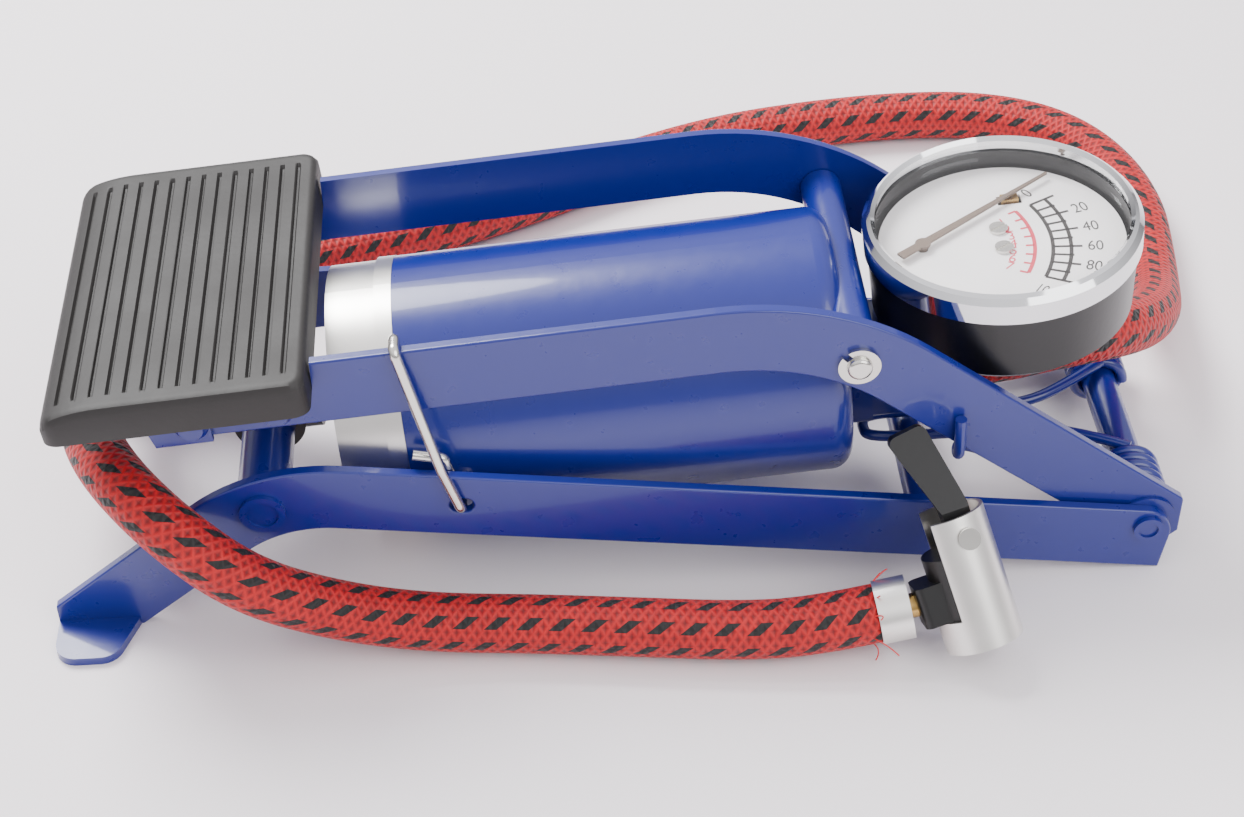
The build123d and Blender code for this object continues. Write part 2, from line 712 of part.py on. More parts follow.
with BuildPart() as gauge_housing:
    revolve(gauge_profile((
        (2.55, 0), (gauge_radius - 3.0, 0), (gauge_radius - 0.8, 2.2), (gauge_radius, gauge_height),
        (gauge_radius - housing_wall, gauge_height), (gauge_radius - housing_wall - 0.6, 3.0),
        (gauge_radius - 5.0, housing_wall), (2.55, housing_wall),
    )), axis=gauge_axis)
gauge_housing.part.label = "gauge_housing"

with BuildPart() as gauge_dial:
    with BuildSketch(gauge_base.offset(dial_height)):
        Circle(gauge_radius - housing_wall - 0.9)
        with Locations((-16.0, 0)):
            Circle(1.1, mode=Mode.SUBTRACT)
        with Locations((4.0, 13.0)):
            Rectangle(5.0, 3.0, mode=Mode.SUBTRACT)
        with Locations((0.0, 3.4), (0.0, -3.0)):
            Circle(0.8 + seat, mode=Mode.SUBTRACT)
    extrude(amount=dial_thickness)
gauge_dial.part.label = "gauge_dial"

movement_high = 9.5
pivot_back = -16.0
screw_spots = (3.4, -3.0)
with BuildPart() as dial_posts:
    for y in screw_spots:
        with BuildSketch(gauge_base.offset(movement_high + face_gap)):
            with Locations((0.0, y)):
                Circle(1.6)
        extrude(amount=dial_height - movement_high - 2 * face_gap)
dial_posts.part.label = "dial_posts"

with BuildPart() as dial_screws:
    for y in screw_spots:
        with BuildSketch(gauge_base.offset(dial_height - face_gap + seat)):
            with Locations((0.0, y)):
                Circle(0.8)
        extrude(amount=dial_thickness + 2 * face_gap)
        with BuildSketch(gauge_base.offset(dial_height + dial_thickness + face_gap)):
            with Locations((0.0, y)):
                Circle(1.9)
        extrude(amount=0.7)
        with BuildSketch(gauge_base.offset(dial_height + dial_thickness + face_gap + 0.4)):
            with Locations(Location((0.0, y, 0), (0, 0, 30))):
                Rectangle(4.0, 0.5)
        extrude(amount=0.5, mode=Mode.SUBTRACT)
dial_screws.part.label = "dial_screws"

with BuildPart() as bourdon_tube:
    with BuildSketch(gauge_side):
        with Locations((20.0, 7.0)):
            Rectangle(2.0, 5.0)
    revolve(axis=gauge_axis, revolution_arc=250)
bourdon_tube.part.label = "bourdon_tube"

with BuildPart() as gauge_movement:
    with BuildSketch(gauge_base.offset(movement_low)):
        with Locations((pivot_back + 8.75, 0.0)):
            Rectangle(21.5, 10.5)
        with Locations((pivot_back, 0)):
            Circle(0.85 + running, mode=Mode.SUBTRACT)
    extrude(amount=movement_high - movement_low)
gauge_movement.part.label = "gauge_movement"

with BuildPart() as dial_stop:
    with BuildSketch(gauge_base.offset(8.5)):
        with Locations((4.0, 13.0)):
            Rectangle(3.6, 2.2)
    extrude(amount=dial_height + dial_thickness + 0.8 - 8.5)
dial_stop.part.label = "dial_stop"

needle_angle = 33.0
needle_length = 34.4
needle_tail = 6.0
needle_height = dial_height + dial_thickness + 1.2


def on_needle(along, across):
    """A point of the dial, given along and across the needle from its pivot."""
    turn = radians(needle_angle)
    return (pivot_back + along * cos(turn) - across * sin(turn), along * sin(turn) + across * cos(turn))


with BuildPart() as needle:
    with BuildSketch(gauge_base.offset(movement_low + 0.5)):
        with Locations((pivot_back, 0)):
            Circle(0.85)
    extrude(amount=needle_height - movement_low)
    with BuildSketch(gauge_base.offset(needle_height)):
        with Locations((pivot_back, 0)):
            Circle(1.6)
        with BuildLine():
            Polyline(
                on_needle(-needle_tail, -1.0), on_needle(-needle_tail, 1.0),
                on_needle(needle_length, 0.25), on_needle(needle_length, -0.25), close=True,
            )
        make_face()
    extrude(amount=0.5)
needle.part.label = "needle"

with BuildPart() as gauge_lens:
    with BuildSketch(gauge_base.offset(lens_height)):
        Circle(gauge_radius - 1.2)
    extrude(amount=lens_thickness)
gauge_lens.part.label = "gauge_lens"

with BuildPart() as gauge_bezel:
    revolve(gauge_profile((
        (bezel_inner, lens_height + lens_thickness + face_gap), (bezel_inner, gauge_height + bezel_rise - 0.8),
        (bezel_inner + 0.8, gauge_height + bezel_rise), (bezel_radius - 1.0, gauge_height + bezel_rise - 0.6),
        (bezel_radius, gauge_height + bezel_rise - 1.8), (bezel_radius, gauge_height - 2.6),
        (gauge_radius + 0.05, gauge_height - 2.6), (gauge_radius + 0.05, gauge_height + 0.1),
        (gauge_radius - 1.1, gauge_height + 0.1), (gauge_radius - 1.1, lens_height + lens_thickness + face_gap),
    )), axis=gauge_axis)
gauge_bezel.part.label = "gauge_bezel"

# ---- hose nipple ----------------------------------------------------------------------------
hose_radius = hose_diameter / 2
ferrule_wall = 0.6
nipple_flange = 1.5
nipple_face = block_end + face_gap + nipple_flange
with BuildPart() as hose_nipple:
    with BuildSketch(cross_plane(plug_start)):
        with Locations((0, nipple_v)):
            Circle(chamber_radius - seat)
            Circle(passage_radius, mode=Mode.SUBTRACT)
    extrude(amount=nipple_face - plug_start)
    with BuildSketch(cross_plane(block_end + face_gap)):
        with Locations((0, nipple_v)):
            Circle(hose_radius - 0.4)
            Circle(passage_radius, mode=Mode.SUBTRACT)
    extrude(amount=nipple_flange)
hose_nipple.part.label = "hose_nipple"

# ---- torsion spring -------------------------------------------------------------------------
coil_inner_y = 12.3
coil_outer_y = lever_inner - 0.6
loop_centre_y = -2.0
loop_half = 3.9
wire_radius = spring_wire / 2
sleeve_extra = 0.2
loop_x = hinge_x - 54.5
loop_z = cross_bar_z + cross_bar_radius + wire_radius + 0.05
coil_top_z = hinge_z + spring_mean_radius
hook_x = hinge_x - 41.0
hook_low_z = neck_low_line[1] + tan(radians(neck_slope)) * (neck_low_line[0] - hook_x) - wire_radius - 0.5
with BuildPart() as torsion_spring:
    for side in (-1, 1):
        with BuildSketch(Plane.XZ.offset(-side * coil_outer_y)):
            with Locations((hinge_x, hinge_z)):
                Circle(spring_mean_radius + wire_radius + sleeve_extra)
                Circle(spring_mean_radius - wire_radius, mode=Mode.SUBTRACT)
        extrude(amount=side * (coil_outer_y - coil_inner_y))
    with BuildLine() as loop_path:
        FilletPolyline(
            (hinge_x, -coil_inner_y - spring_wire, coil_top_z),
            (hinge_x - 15.0, loop_centre_y - loop_half, coil_top_z - 0.4),
            (loop_x, loop_centre_y - loop_half, loop_z),
            (loop_x, loop_centre_y + loop_half, loop_z),
            (hinge_x - 15.0, loop_centre_y + loop_half, coil_top_z - 0.4),
            (hinge_x, coil_inner_y + spring_wire, coil_top_z),
            radius=[6.0, 3.6, 3.6, 6.0],
        )
    with BuildSketch(Plane(origin=loop_path.line @ 0, z_dir=loop_path.line % 0)):
        Circle(wire_radius)
    sweep(path=loop_path.line)
    for side in (-1, 1):
        leg_y = side * (coil_outer_y - wire_radius - sleeve_extra)
        hook_y = side * (lever_outer + wire_radius + 0.15)
        with BuildLine() as hook_path:
            FilletPolyline(
                (hinge_x - 1.5, leg_y, coil_top_z - 0.2),
                (hook_x, leg_y, hook_low_z),
                (hook_x, hook_y, hook_low_z),
                (hook_x - 0.4, hook_y, hook_low_z + 11.0),
                radius=[1.7, 1.7],
            )
        with BuildSketch(Plane(origin=hook_path.line @ 0, z_dir=hook_path.line % 0)):
            Circle(wire_radius)
        sweep(path=hook_path.line)
torsion_spring.part.label = "torsion_spring"

# ---- transport latch ------------------------------------------------------------------------
latch_radius = latch_wire_diameter / 2
hook_over_x = hinge_x - 151.5
hook_over_z = on_line(lever_top_line, pedal_slope, hook_over_x)[1] + latch_radius + 0.25
latch_out_y = -(base_outer + latch_radius + 0.3)
latch_side_y = -(lever_outer + latch_radius + 0.25)
latch_back_y = -(lever_inner - latch_radius - 0.2)
latch_in_y = -(base_inner - latch_radius - 0.15)
latch_points = [
    (hook_over_x, latch_back_y, hook_over_z - 5.5),
    (hook_over_x, latch_back_y, hook_over_z),
    (hook_over_x, latch_side_y, hook_over_z),
    (latch_x - 3.4, latch_out_y, latch_z + 11.0),
    (latch_x, latch_out_y, latch_z),
    (latch_x, latch_in_y, latch_z),
    (latch_x - 3.0, latch_in_y, latch_z + 10.2),
    (latch_x - 9.0, latch_in_y, latch_z + 11.6),
]
latch_wire = tube_along(latch_points, [1.3, 1.3, 9.0, 1.6, 1.3, 1.6], latch_radius)
latch_wire.part.label = "latch_wire"

# ---- valve chuck ----------------------------------------------------------------------------
chuck_mouth = Vector(hinge_x - 38.0, -base_outer - 22.8, 6.6)
chuck_top = Vector(hinge_x - 45.5, -base_outer - 9.0, 28.0)
chuck_along = (chuck_top - chuck_mouth).normalized()
chuck_left = (Vector(-1, 0, 0) - chuck_along * Vector(-1, 0, 0).dot(chuck_along)).normalized()
chuck_plane = Plane(origin=chuck_mouth, x_dir=chuck_left, z_dir=chuck_along)
chuck_face = Plane(origin=chuck_mouth, x_dir=chuck_left, z_dir=-chuck_plane.y_dir)
shell_radius = 8.0
shell_wall = 0.8
shell_slot = 3.2
shell_length = 26.5
ring_height = 6.0
pin_x = -2.3
pin_z = 22.0
cam_radius = 2.9
lever_half = 3.1
thumb_bend = 2.8
thumb_tip = 3.0
core_radius = shell_radius - shell_wall - 0.05
seal_length = 6.0


def in_chuck(x, y, z):
    """A point in the chuck's own frame: left, towards the viewer's side, and up its axis."""
    return chuck_mouth + chuck_left * x + chuck_plane.y_dir * y + chuck_along * z


with BuildPart() as chuck_shell:
    with BuildSketch(chuck_plane):
        Circle(shell_radius)
        Circle(shell_radius - shell_wall, mode=Mode.SUBTRACT)
    extrude(amount=shell_length)
    with BuildSketch(chuck_plane.offset(ring_height)):
        with Locations((shell_radius + shell_slot, 0)):
            Rectangle(2 * shell_radius - 2 * shell_wall, 3 * shell_radius)
    extrude(amount=shell_length, mode=Mode.SUBTRACT)
    with BuildSketch(chuck_plane):
        Circle(shell_radius - 0.1)
        Circle(valve_radius + 0.4, mode=Mode.SUBTRACT)
    extrude(amount=-0.9)
    with BuildSketch(chuck_face):
        with Locations((pin_x, pin_z)):
            Circle(1.5 + seat)
    extrude(amount=shell_radius + 2, both=True, mode=Mode.SUBTRACT)
chuck_shell.part.label = "chuck_shell"

with BuildPart() as chuck_seal:
    with BuildSketch(chuck_plane.offset(face_gap)):
        Circle(core_radius)
        Circle(valve_radius, mode=Mode.SUBTRACT)
    extrude(amount=seal_length)
chuck_seal.part.label = "chuck_seal"

core_low = seal_length + 2 * face_gap
core_high = pin_z - cam_radius - 0.15
block_top = 14.5
stem_centre = in_chuck(0.0, 0.0, 0.0)
with BuildPart() as chuck_core:
    with BuildSketch(chuck_plane.offset(core_low)):
        Circle(core_radius)
    extrude(amount=core_high - core_low)
    with BuildSketch(chuck_plane.offset(ring_height + 0.1)):
        with Locations((5.0, 0)):
            RectangleRounded(11.6, 9.4, 1.6)
    extrude(amount=block_top - ring_height - 0.1)
    with BuildSketch(chuck_plane.offset(core_low - 1)):
        Circle(1.4)
    extrude(amount=7.0, mode=Mode.SUBTRACT)
chuck_core.part.label = "chuck_core"

pin_half = shell_radius + 0.2
with BuildPart() as chuck_pin:
    pin_plane = Plane(origin=in_chuck(pin_x, 0, pin_z), x_dir=chuck_left, z_dir=chuck_plane.y_dir)
    with BuildSketch(pin_plane):
        Circle(1.5)
    extrude(amount=pin_half, both=True)
    for turn in (1, -1):
        with BuildSketch(pin_plane.offset(turn * pin_half)):
            Circle(2.2)
        extrude(amount=turn * 0.7)
chuck_pin.part.label = "chuck_pin"

thumb_length = 21.5
with BuildPart() as chuck_lever:
    with BuildSketch(chuck_face) as front:
        with BuildLine():
            Polyline(
                (pin_x - 2.3, pin_z), (pin_x + cam_radius, pin_z), (pin_x + cam_radius + 0.2, pin_z + 5.0),
                (pin_x + 8.6, pin_z + thumb_length), (pin_x + 0.4, pin_z + thumb_length + 1.0),
                (pin_x - 2.6, pin_z + 6.0), close=True,
            )
        make_face()
        fillet(front.vertices().group_by(Axis.Y)[-1] + front.vertices().group_by(Axis.Y)[-2], 1.6)
        with Locations((pin_x, pin_z)):
            Circle(cam_radius)
            Circle(1.5 + running, mode=Mode.SUBTRACT)
    extrude(amount=3 * lever_half, both=True)
    side_plane = Plane(origin=chuck_mouth, x_dir=chuck_plane.y_dir, z_dir=chuck_left)
    with BuildSketch(side_plane):
        with BuildLine():
            Polyline(
                (lever_half, 0), (lever_half, pin_z + 5.0), (-thumb_bend, pin_z + thumb_length + 2.0),
                (-thumb_bend - thumb_tip, pin_z + thumb_length + 2.0), (-lever_half, pin_z + 8.0),
                (-lever_half, 0), close=True,
            )
        make_face()
    extrude(amount=20.0, both=True, mode=Mode.INTERSECT)
chuck_lever.part.label = "chuck_lever"

# ---- hose -----------------------------------------------------------------------------------
# Two lengths that meet end to end under the pedal. Points are chosen by hand along the route.
hose_start = in_barrel(nipple_face + 0.02, nipple_v)
hose_first = hose_start + barrel_along * 17.0
junction = Vector(-109.5, 21.7, 27.0)
junction_way = Vector(-0.06, -0.985, 0.16).normalized()
hose_back_points = [
    tuple(hose_start),
    tuple(hose_first),
    (95.5, 2.5, 33.4),
    (108.0, 8.0, 30.5),
    (118.0, 18.0, 24.0),
    (125.5, 31.5, 16.5),
    (130.0, 47.0, 9.2),
    (133.5, 64.5, 6.2),
    (135.8, 84.0, 6.2),
    (132.0, 103.5, 6.2),
    (122.0, 119.0, 6.2),
    (105.0, 127.5, 6.2),
    (84.0, 129.4, 6.2),
    (59.0, 127.4, 6.2),
    (34.0, 122.6, 6.2),
    (9.5, 112.7, 6.2),
    (-14.5, 99.7, 6.2),
    (-38.5, 89.2, 6.2),
    (-62.0, 81.7, 6.4),
    (-82.0, 72.2, 9.5),
    (-97.0, 58.2, 17.0),
    tuple(junction - junction_way * 20.0),
    tuple(junction - junction_way * 0.02),
]
hose_front_points = [
    tuple(junction),
    tuple(junction + junction_way * 18.0),
    (-107.0, -14.0, 34.0),
    (-99.5, -30.0, 37.0),
    (-88.5, -41.5, 33.0),
    (-75.0, -46.4, 22.5),
    (-58.0, -44.6, 12.0),
    (-40.0, -44.2, 6.8),
    (-18.5, -45.6, 6.2),
    (3.0, -48.4, 6.4),
    (22.0, -50.6, 6.2),
    (37.0, -51.4, 7.0),
    (50.0, -50.9, 9.4),
]


def arc_radii(points):
    """For each inner point, 0.45 of its shorter run divided by the tangent of half its turn."""
    radii = []
    for before, here, after in zip(points, points[1:], points[2:]):
        run_in = Vector(*here) - Vector(*before)
        run_out = Vector(*after) - Vector(*here)
        turn = run_in.get_angle(run_out)
        radii.append(0.45 * min(run_in.length, run_out.length) / tan(radians(turn / 2)))
    return radii


def hose(name, points):
    """One length of hose, with its radii printed so that tight bends show."""
    radii = arc_radii(points)
    piece = tube_along(points, radii, hose_radius)
    piece.part.label = name
    runs = [(Vector(*b) - Vector(*a)).length for a, b in zip(points, points[1:])]
    print(name, "radii", [round(r, 1) for r in radii])
    print(name, "runs", [round(r, 1) for r in runs], "sum", round(sum(runs), 1))
    print(name, "length by volume", round(piece.part.volume / (3.14159265 * hose_radius ** 2), 1))
    return piece


hose_back = hose("hose_back", hose_back_points)
hose_front = hose("hose_front", hose_front_points)

# Front ferrule: from the hose's end to the side of the chuck's core.
front_end = Vector(*hose_front_points[-1])
front_along = (front_end - Vector(*hose_front_points[-2])).normalized()
front_ferrule_length = 6.6
front_plane = Plane(origin=front_end + front_along * 0.02, z_dir=front_along)
with BuildPart() as hose_ferrule_front:
    with BuildSketch(front_plane):
        Circle(hose_radius + ferrule_wall - 0.1)
        Circle(port_radius + seat, mode=Mode.SUBTRACT)
    extrude(amount=front_ferrule_length)
hose_ferrule_front.part.label = "hose_ferrule_front"

with BuildPart() as chuck_stem:
    with BuildSketch(front_plane.offset(0.3)):
        Circle(port_radius)
    extrude(amount=front_ferrule_length + 6.0)
    add(chuck_core.part, mode=Mode.SUBTRACT)
    add(chuck_shell.part, mode=Mode.SUBTRACT)
chuck_stem.part.label = "chuck_stem"

# ---- write every piece ----------------------------------------------------------------------
pieces = [
    base_bar_near, base_bar_far, hinge_axle, rod_axle, hinge_tube, hinge_washers, base_cross_bar, rod_spacers,
    lever_bar_near, lever_bar_far, pedal_plate, pedal_brackets, pedal_rivets, pedal_pad, pivot_rivets,
    push_washers, barrel_shell, pivot_tube, pivot_core, end_collar, rod_guide, rod_eye, piston_rod, piston,
    piston_cup, piston_nut, outlet_block, check_ball, check_spring, gauge_stem, gauge_housing, gauge_dial,
    dial_posts, dial_screws, bourdon_tube, gauge_movement, dial_stop, needle, gauge_lens, gauge_bezel,
    hose_nipple, torsion_spring, latch_wire, chuck_shell, chuck_seal, chuck_core, chuck_pin,
    chuck_lever, hose_back, hose_front, hose_ferrule_front, chuck_stem,
]
os.makedirs("parts", exist_ok=True)
for piece in pieces:
    export_step(piece.part, f"parts/{piece.part.label}.step")
print("pieces", len(pieces))
print("hinge", hinge_x, hinge_z, "rod axle", rod_axle_x, rod_axle_z, "pivot", pivot_point)
print("chuck mouth", chuck_mouth, "along", chuck_along, "pin", in_chuck(pin_x, 0, pin_z), "pin axis", chuck_plane.y_dir)
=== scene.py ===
import bmesh
import bpy
import json
import math
from mathutils import Matrix, Vector


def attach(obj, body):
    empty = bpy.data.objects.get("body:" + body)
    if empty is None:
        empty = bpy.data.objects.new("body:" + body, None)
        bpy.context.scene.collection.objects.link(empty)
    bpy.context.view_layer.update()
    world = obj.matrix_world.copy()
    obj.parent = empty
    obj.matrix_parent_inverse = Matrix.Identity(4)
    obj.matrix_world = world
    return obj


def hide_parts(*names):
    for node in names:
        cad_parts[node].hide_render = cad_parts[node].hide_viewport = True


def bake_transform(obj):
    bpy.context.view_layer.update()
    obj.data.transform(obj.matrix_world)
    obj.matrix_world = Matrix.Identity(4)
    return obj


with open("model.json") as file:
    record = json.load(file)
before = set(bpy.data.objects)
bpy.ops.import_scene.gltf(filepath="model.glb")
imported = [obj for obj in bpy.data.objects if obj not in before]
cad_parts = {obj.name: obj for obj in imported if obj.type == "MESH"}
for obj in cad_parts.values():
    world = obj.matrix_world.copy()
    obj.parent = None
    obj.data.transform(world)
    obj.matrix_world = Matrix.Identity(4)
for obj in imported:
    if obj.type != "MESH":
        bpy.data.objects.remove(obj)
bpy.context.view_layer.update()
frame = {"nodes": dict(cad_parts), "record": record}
nodes = frame["nodes"]
mm = 0.001
print("frame loaded")

# Camera and lights: the set the pump stands on.
setValues = {
    "lens": 65.8,
    "cameraAt": (-16.1, -363.5, 342.8),
    "elevation": 41.32,
    "azimuth": -2.863,
    "roll": -1.115,
    "sensorWidth": 36,
    "lightTarget": (0, 0, 0.03),
    "keyAt": (-0.35, 0.45, 0.75),
    "keySize": 0.5,
    "fillAt": (0.45, -0.5, 0.6),
    "fillSize": 0.7,
    "skyTop": 0.7,
    "skyLow": 0.3,
    "skyHigh": 1.25,
    "floorHalf": 3,
    "floorColour": "#F7F1F4",
    "worldColour": "#F4F2F6",
    "worldStrength": 1.3,
    "keyPower": 15.0,
    "fillPower": 4.0,
}


def linear(hexColour, alpha=1.0):
    parts = [int(hexColour.lstrip("#")[i:i + 2], 16) / 255 for i in (0, 2, 4)]
    parts = [c / 12.92 if c <= 0.04045 else ((c + 0.055) / 1.055) ** 2.4 for c in parts]
    return (*parts, alpha)


# Adds one node: settings on the node, values and links on its inputs.
def addNode(tree, kind, values=None, links=None, **settings):
    node = tree.nodes.new(kind)
    for key, value in settings.items():
        setattr(node, key, value)
    for key, value in (values or {}).items():
        node.inputs[key].default_value = value
    for key, value in (links or {}).items():
        tree.links.new(value, node.inputs[key])
    return node


def lookCamera():
    elevation = math.radians(setValues["elevation"])
    azimuth = math.radians(setValues["azimuth"])
    roll = math.radians(setValues["roll"])
    level = math.cos(elevation)
    ahead = Vector((-math.sin(azimuth) * level, math.cos(azimuth) * level, -math.sin(elevation)))
    right = Vector((math.cos(azimuth), math.sin(azimuth), 0))
    up = right.cross(ahead)
    rolledRight = math.cos(roll) * right + math.sin(roll) * up
    rolledUp = -math.sin(roll) * right + math.cos(roll) * up
    data = bpy.data.cameras.new("camera")
    data.lens = setValues["lens"]
    data.sensor_width = setValues["sensorWidth"]
    camera = bpy.data.objects.new("camera", data)
    turn = Matrix((rolledRight, rolledUp, -ahead)).transposed().to_4x4()
    camera.matrix_world = Matrix.Translation(Vector(setValues["cameraAt"]) * mm) @ turn
    bpy.context.scene.collection.objects.link(camera)
    bpy.context.scene.camera = camera


def addLight(name, place, size, power):
    data = bpy.data.lights.new(name, "AREA")
    data.shape = "DISK"
    data.size = size
    data.energy = power
    light = bpy.data.objects.new(name, data)
    light.location = place
    way = Vector(setValues["lightTarget"]) - Vector(place)
    light.rotation_euler = way.to_track_quat("-Z", "Y").to_euler()
    bpy.context.scene.collection.objects.link(light)


lookCamera()
addLight("keyLight", setValues["keyAt"], setValues["keySize"], setValues["keyPower"])
addLight("fillLight", setValues["fillAt"], setValues["fillSize"], setValues["fillPower"])
world = bpy.data.worlds.new("studio")
bpy.context.scene.world = world
world.use_nodes = True
background = next(n for n in world.node_tree.nodes if n.type == "BACKGROUND")
background.inputs["Color"].default_value = linear(setValues["worldColour"])
skyPlace = addNode(world.node_tree, "ShaderNodeTexCoord")
skyHeight = addNode(world.node_tree, "ShaderNodeSeparateXYZ", {}, {"Vector": skyPlace.outputs["Generated"]})
skyLight = addNode(world.node_tree, "ShaderNodeMapRange", {
    "From Min": 0.0,
    "From Max": setValues["skyTop"],
    "To Min": setValues["worldStrength"] * setValues["skyLow"],
    "To Max": setValues["worldStrength"] * setValues["skyHigh"],
}, {"Value": skyHeight.outputs["Z"]})
world.node_tree.links.new(skyLight.outputs[0], background.inputs["Strength"])


# A principled material, given back with its tree and shader so that a finish can be built on it.
def makeMaterial(name, **values):
    material = bpy.data.materials.new(name)
    material.use_nodes = True
    tree = material.node_tree
    shader = next(n for n in tree.nodes if n.type == "BSDF_PRINCIPLED")
    for key, value in values.items():
        shader.inputs[key.replace("_", " ")].default_value = value
    return material, tree, shader


def objectNoise(tree, scale, detail=3.0, stretch=(1, 1, 1)):
    place = addNode(tree, "ShaderNodeTexCoord")
    spread = addNode(tree, "ShaderNodeMapping", {"Scale": stretch}, {"Vector": place.outputs["Object"]})
    return addNode(tree, "ShaderNodeTexNoise", {"Scale": scale, "Detail": detail}, {"Vector": spread.outputs[0]})


def addBump(tree, shader, height, strength, distance):
    bump = addNode(tree, "ShaderNodeBump", {"Strength": strength, "Distance": distance}, {"Height": height})
    tree.links.new(bump.outputs[0], shader.inputs["Normal"])


def varyRoughness(tree, shader, noise, low, high):
    spread = addNode(tree, "ShaderNodeMapRange", {"To Min": low, "To Max": high}, {"Value": noise.outputs[0]})
    tree.links.new(spread.outputs[0], shader.inputs["Roughness"])


# Glossy enamel: deep blue with a clear, faintly rippled skin.
def enamelFinish(name, colour):
    material, tree, shader = makeMaterial(
        name, Base_Color=linear(colour), Coat_Weight=0.4, Coat_Roughness=0.06, IOR=1.5)
    ripple = objectNoise(tree, 260)
    varyRoughness(tree, shader, ripple, 0.24, 0.34)
    addBump(tree, shader, ripple.outputs[0], 0.12, 0.0003)
    return material


# Plated metal: the noise breaks its reflections up like real plating.
def metalFinish(name, colour, low, high, scale=180, stretch=(1, 1, 1), bump=0.08):
    material, tree, shader = makeMaterial(name, Base_Color=linear(colour), Metallic=1.0)
    grain = objectNoise(tree, scale, 4.0, stretch)
    varyRoughness(tree, shader, grain, low, high)
    addBump(tree, shader, grain.outputs[0], bump, 0.0002)
    return material


mouldedValues = {"patchScale": 60, "paleShare": 1.35}


# Moulded rubber or plastic: fine pimples and uneven sheen.
def mouldedFinish(name, colour, low, high, grainScale=900, bump=0.25):
    material, tree, shader = makeMaterial(name, IOR=1.5)
    grain = objectNoise(tree, grainScale)
    patches = objectNoise(tree, mouldedValues["patchScale"])
    dark = linear(colour)
    pale = tuple(c * mouldedValues["paleShare"] for c in dark[:3]) + (1,)
    shade = addNode(tree, "ShaderNodeMixRGB", {"Color1": dark, "Color2": pale}, {"Fac": patches.outputs[0]})
    tree.links.new(shade.outputs[0], shader.inputs["Base Color"])
    varyRoughness(tree, shader, patches, low, high)
    addBump(tree, shader, grain.outputs[0], bump, 0.0002)
    return material


# Clear plastic: light passes straight through, with a little sheen that grows towards the rim.
def lensFinish():
    material, tree, _ = makeMaterial(
        "clearLens", Base_Color=(1, 1, 1, 1), Roughness=0.03, IOR=1.46, Transmission_Weight=1.0)
    path = addNode(tree, "ShaderNodeLightPath")
    clear = addNode(tree, "ShaderNodeBsdfTransparent")
    sheen = addNode(tree, "ShaderNodeBsdfGlossy", {"Roughness": 0.05})
    edge = addNode(tree, "ShaderNodeLayerWeight", {"Blend": 0.12})
    sheenRange = {"To Min": 0.02, "To Max": 0.22}
    share = addNode(tree, "ShaderNodeMapRange", sheenRange, {"Value": edge.outputs["Facing"]})
    see = addNode(tree, "ShaderNodeMixShader", {}, {0: share.outputs[0], 1: clear.outputs[0], 2: sheen.outputs[0]})
    through = addNode(tree, "ShaderNodeMixShader", {}, {
        0: path.outputs["Is Shadow Ray"], 1: see.outputs[0], 2: clear.outputs[0]})
    output = next(n for n in tree.nodes if n.type == "OUTPUT_MATERIAL")
    tree.links.new(through.outputs[0], output.inputs["Surface"])
    return material


finishes = {
    "blue_enamel": enamelFinish("blueEnamel", "#101E78"),
    "block_aluminium": enamelFinish("blueCastBlock", "#132075"),
    "plated_steel": metalFinish("brightPlatedSteel", "#D6D4CE", 0.12, 0.26),
    "zinc_plate": metalFinish("paleZincPlate", "#EDEBE6", 0.26, 0.42, 90, (1, 1, 1), 0.12),
    "bezel_chrome": metalFinish("brightChrome", "#E2E3E5", 0.04, 0.1, 120, (1, 1, 1), 0.03),
    "brass": metalFinish("plainBrass", "#B9975A", 0.2, 0.35),
    "needle_metal": mouldedFinish("darkNeedle", "#6A5B50", 0.35, 0.5),
    "pad_rubber": mouldedFinish("padRubber", "#1C1A19", 0.5, 0.68),
    "seal_rubber": mouldedFinish("sealRubber", "#181716", 0.45, 0.6),
    "black_plastic": mouldedFinish("blackPlastic", "#0C0C0C", 0.32, 0.45, 500, 0.12),
    "housing_black": mouldedFinish("satinBlackPaint", "#0B0B0C", 0.28, 0.36, 700, 0.08),
    "dial_white": mouldedFinish("dialCard", "#E9E6E6", 0.5, 0.6, 500, 0.05),
    "clear_lens": lensFinish(),
}
slotOfNode = {part["node"]: part["material_slot"] for part in frame["record"]["subparts"]}
for nodeName, node in nodes.items():
    finish = finishes.get(slotOfNode.get(nodeName))
    if finish:
        node.data.materials.clear()
        node.data.materials.append(finish)
print("finishes set")

# Hose: one smooth line in two lengths, covered in red braid with black tracer marks.
hoseValues = {
    "diameter": 12.0,
    "red": "#C20D14",
    # the darker red is painted shade for the gaps between the braid's strands
    "gapShadeRed": "#6E060A",
    "black": "#141212",
    "tracerPitch": 6.6,
    "tracerRows": 7.0,
    "braidPitch": 2.1,
    "strands": 12.0,
    "rowStagger": 3.0,
    "markSlant": 0.95,
    "markHalfLength": 0.2,
    "markHalfWidth": 0.24,
    "wearScale": 420,
    "nippleAlong": 134.64,
    "nippleUp": -10.8,
    "straightOut": 17.0,
    "backJoinRun": 20.0,
    "frontJoinRun": 18.0,
    "sides": 32,
    "capTurn": 0.1,
}
barrelTilt = math.radians(5)
alongBarrel = Vector((math.cos(barrelTilt), 0, math.sin(barrelTilt)))
upBarrel = Vector((-math.sin(barrelTilt), 0, math.cos(barrelTilt)))
rodAxle = Vector((-71.6, 0, 29.6))


# A place given along the barrel, square to it and across, all in mm from the rod axle.
def inBarrel(u, v, y=0.0):
    return rodAxle + alongBarrel * u + upBarrel * v + Vector((0, y, 0))


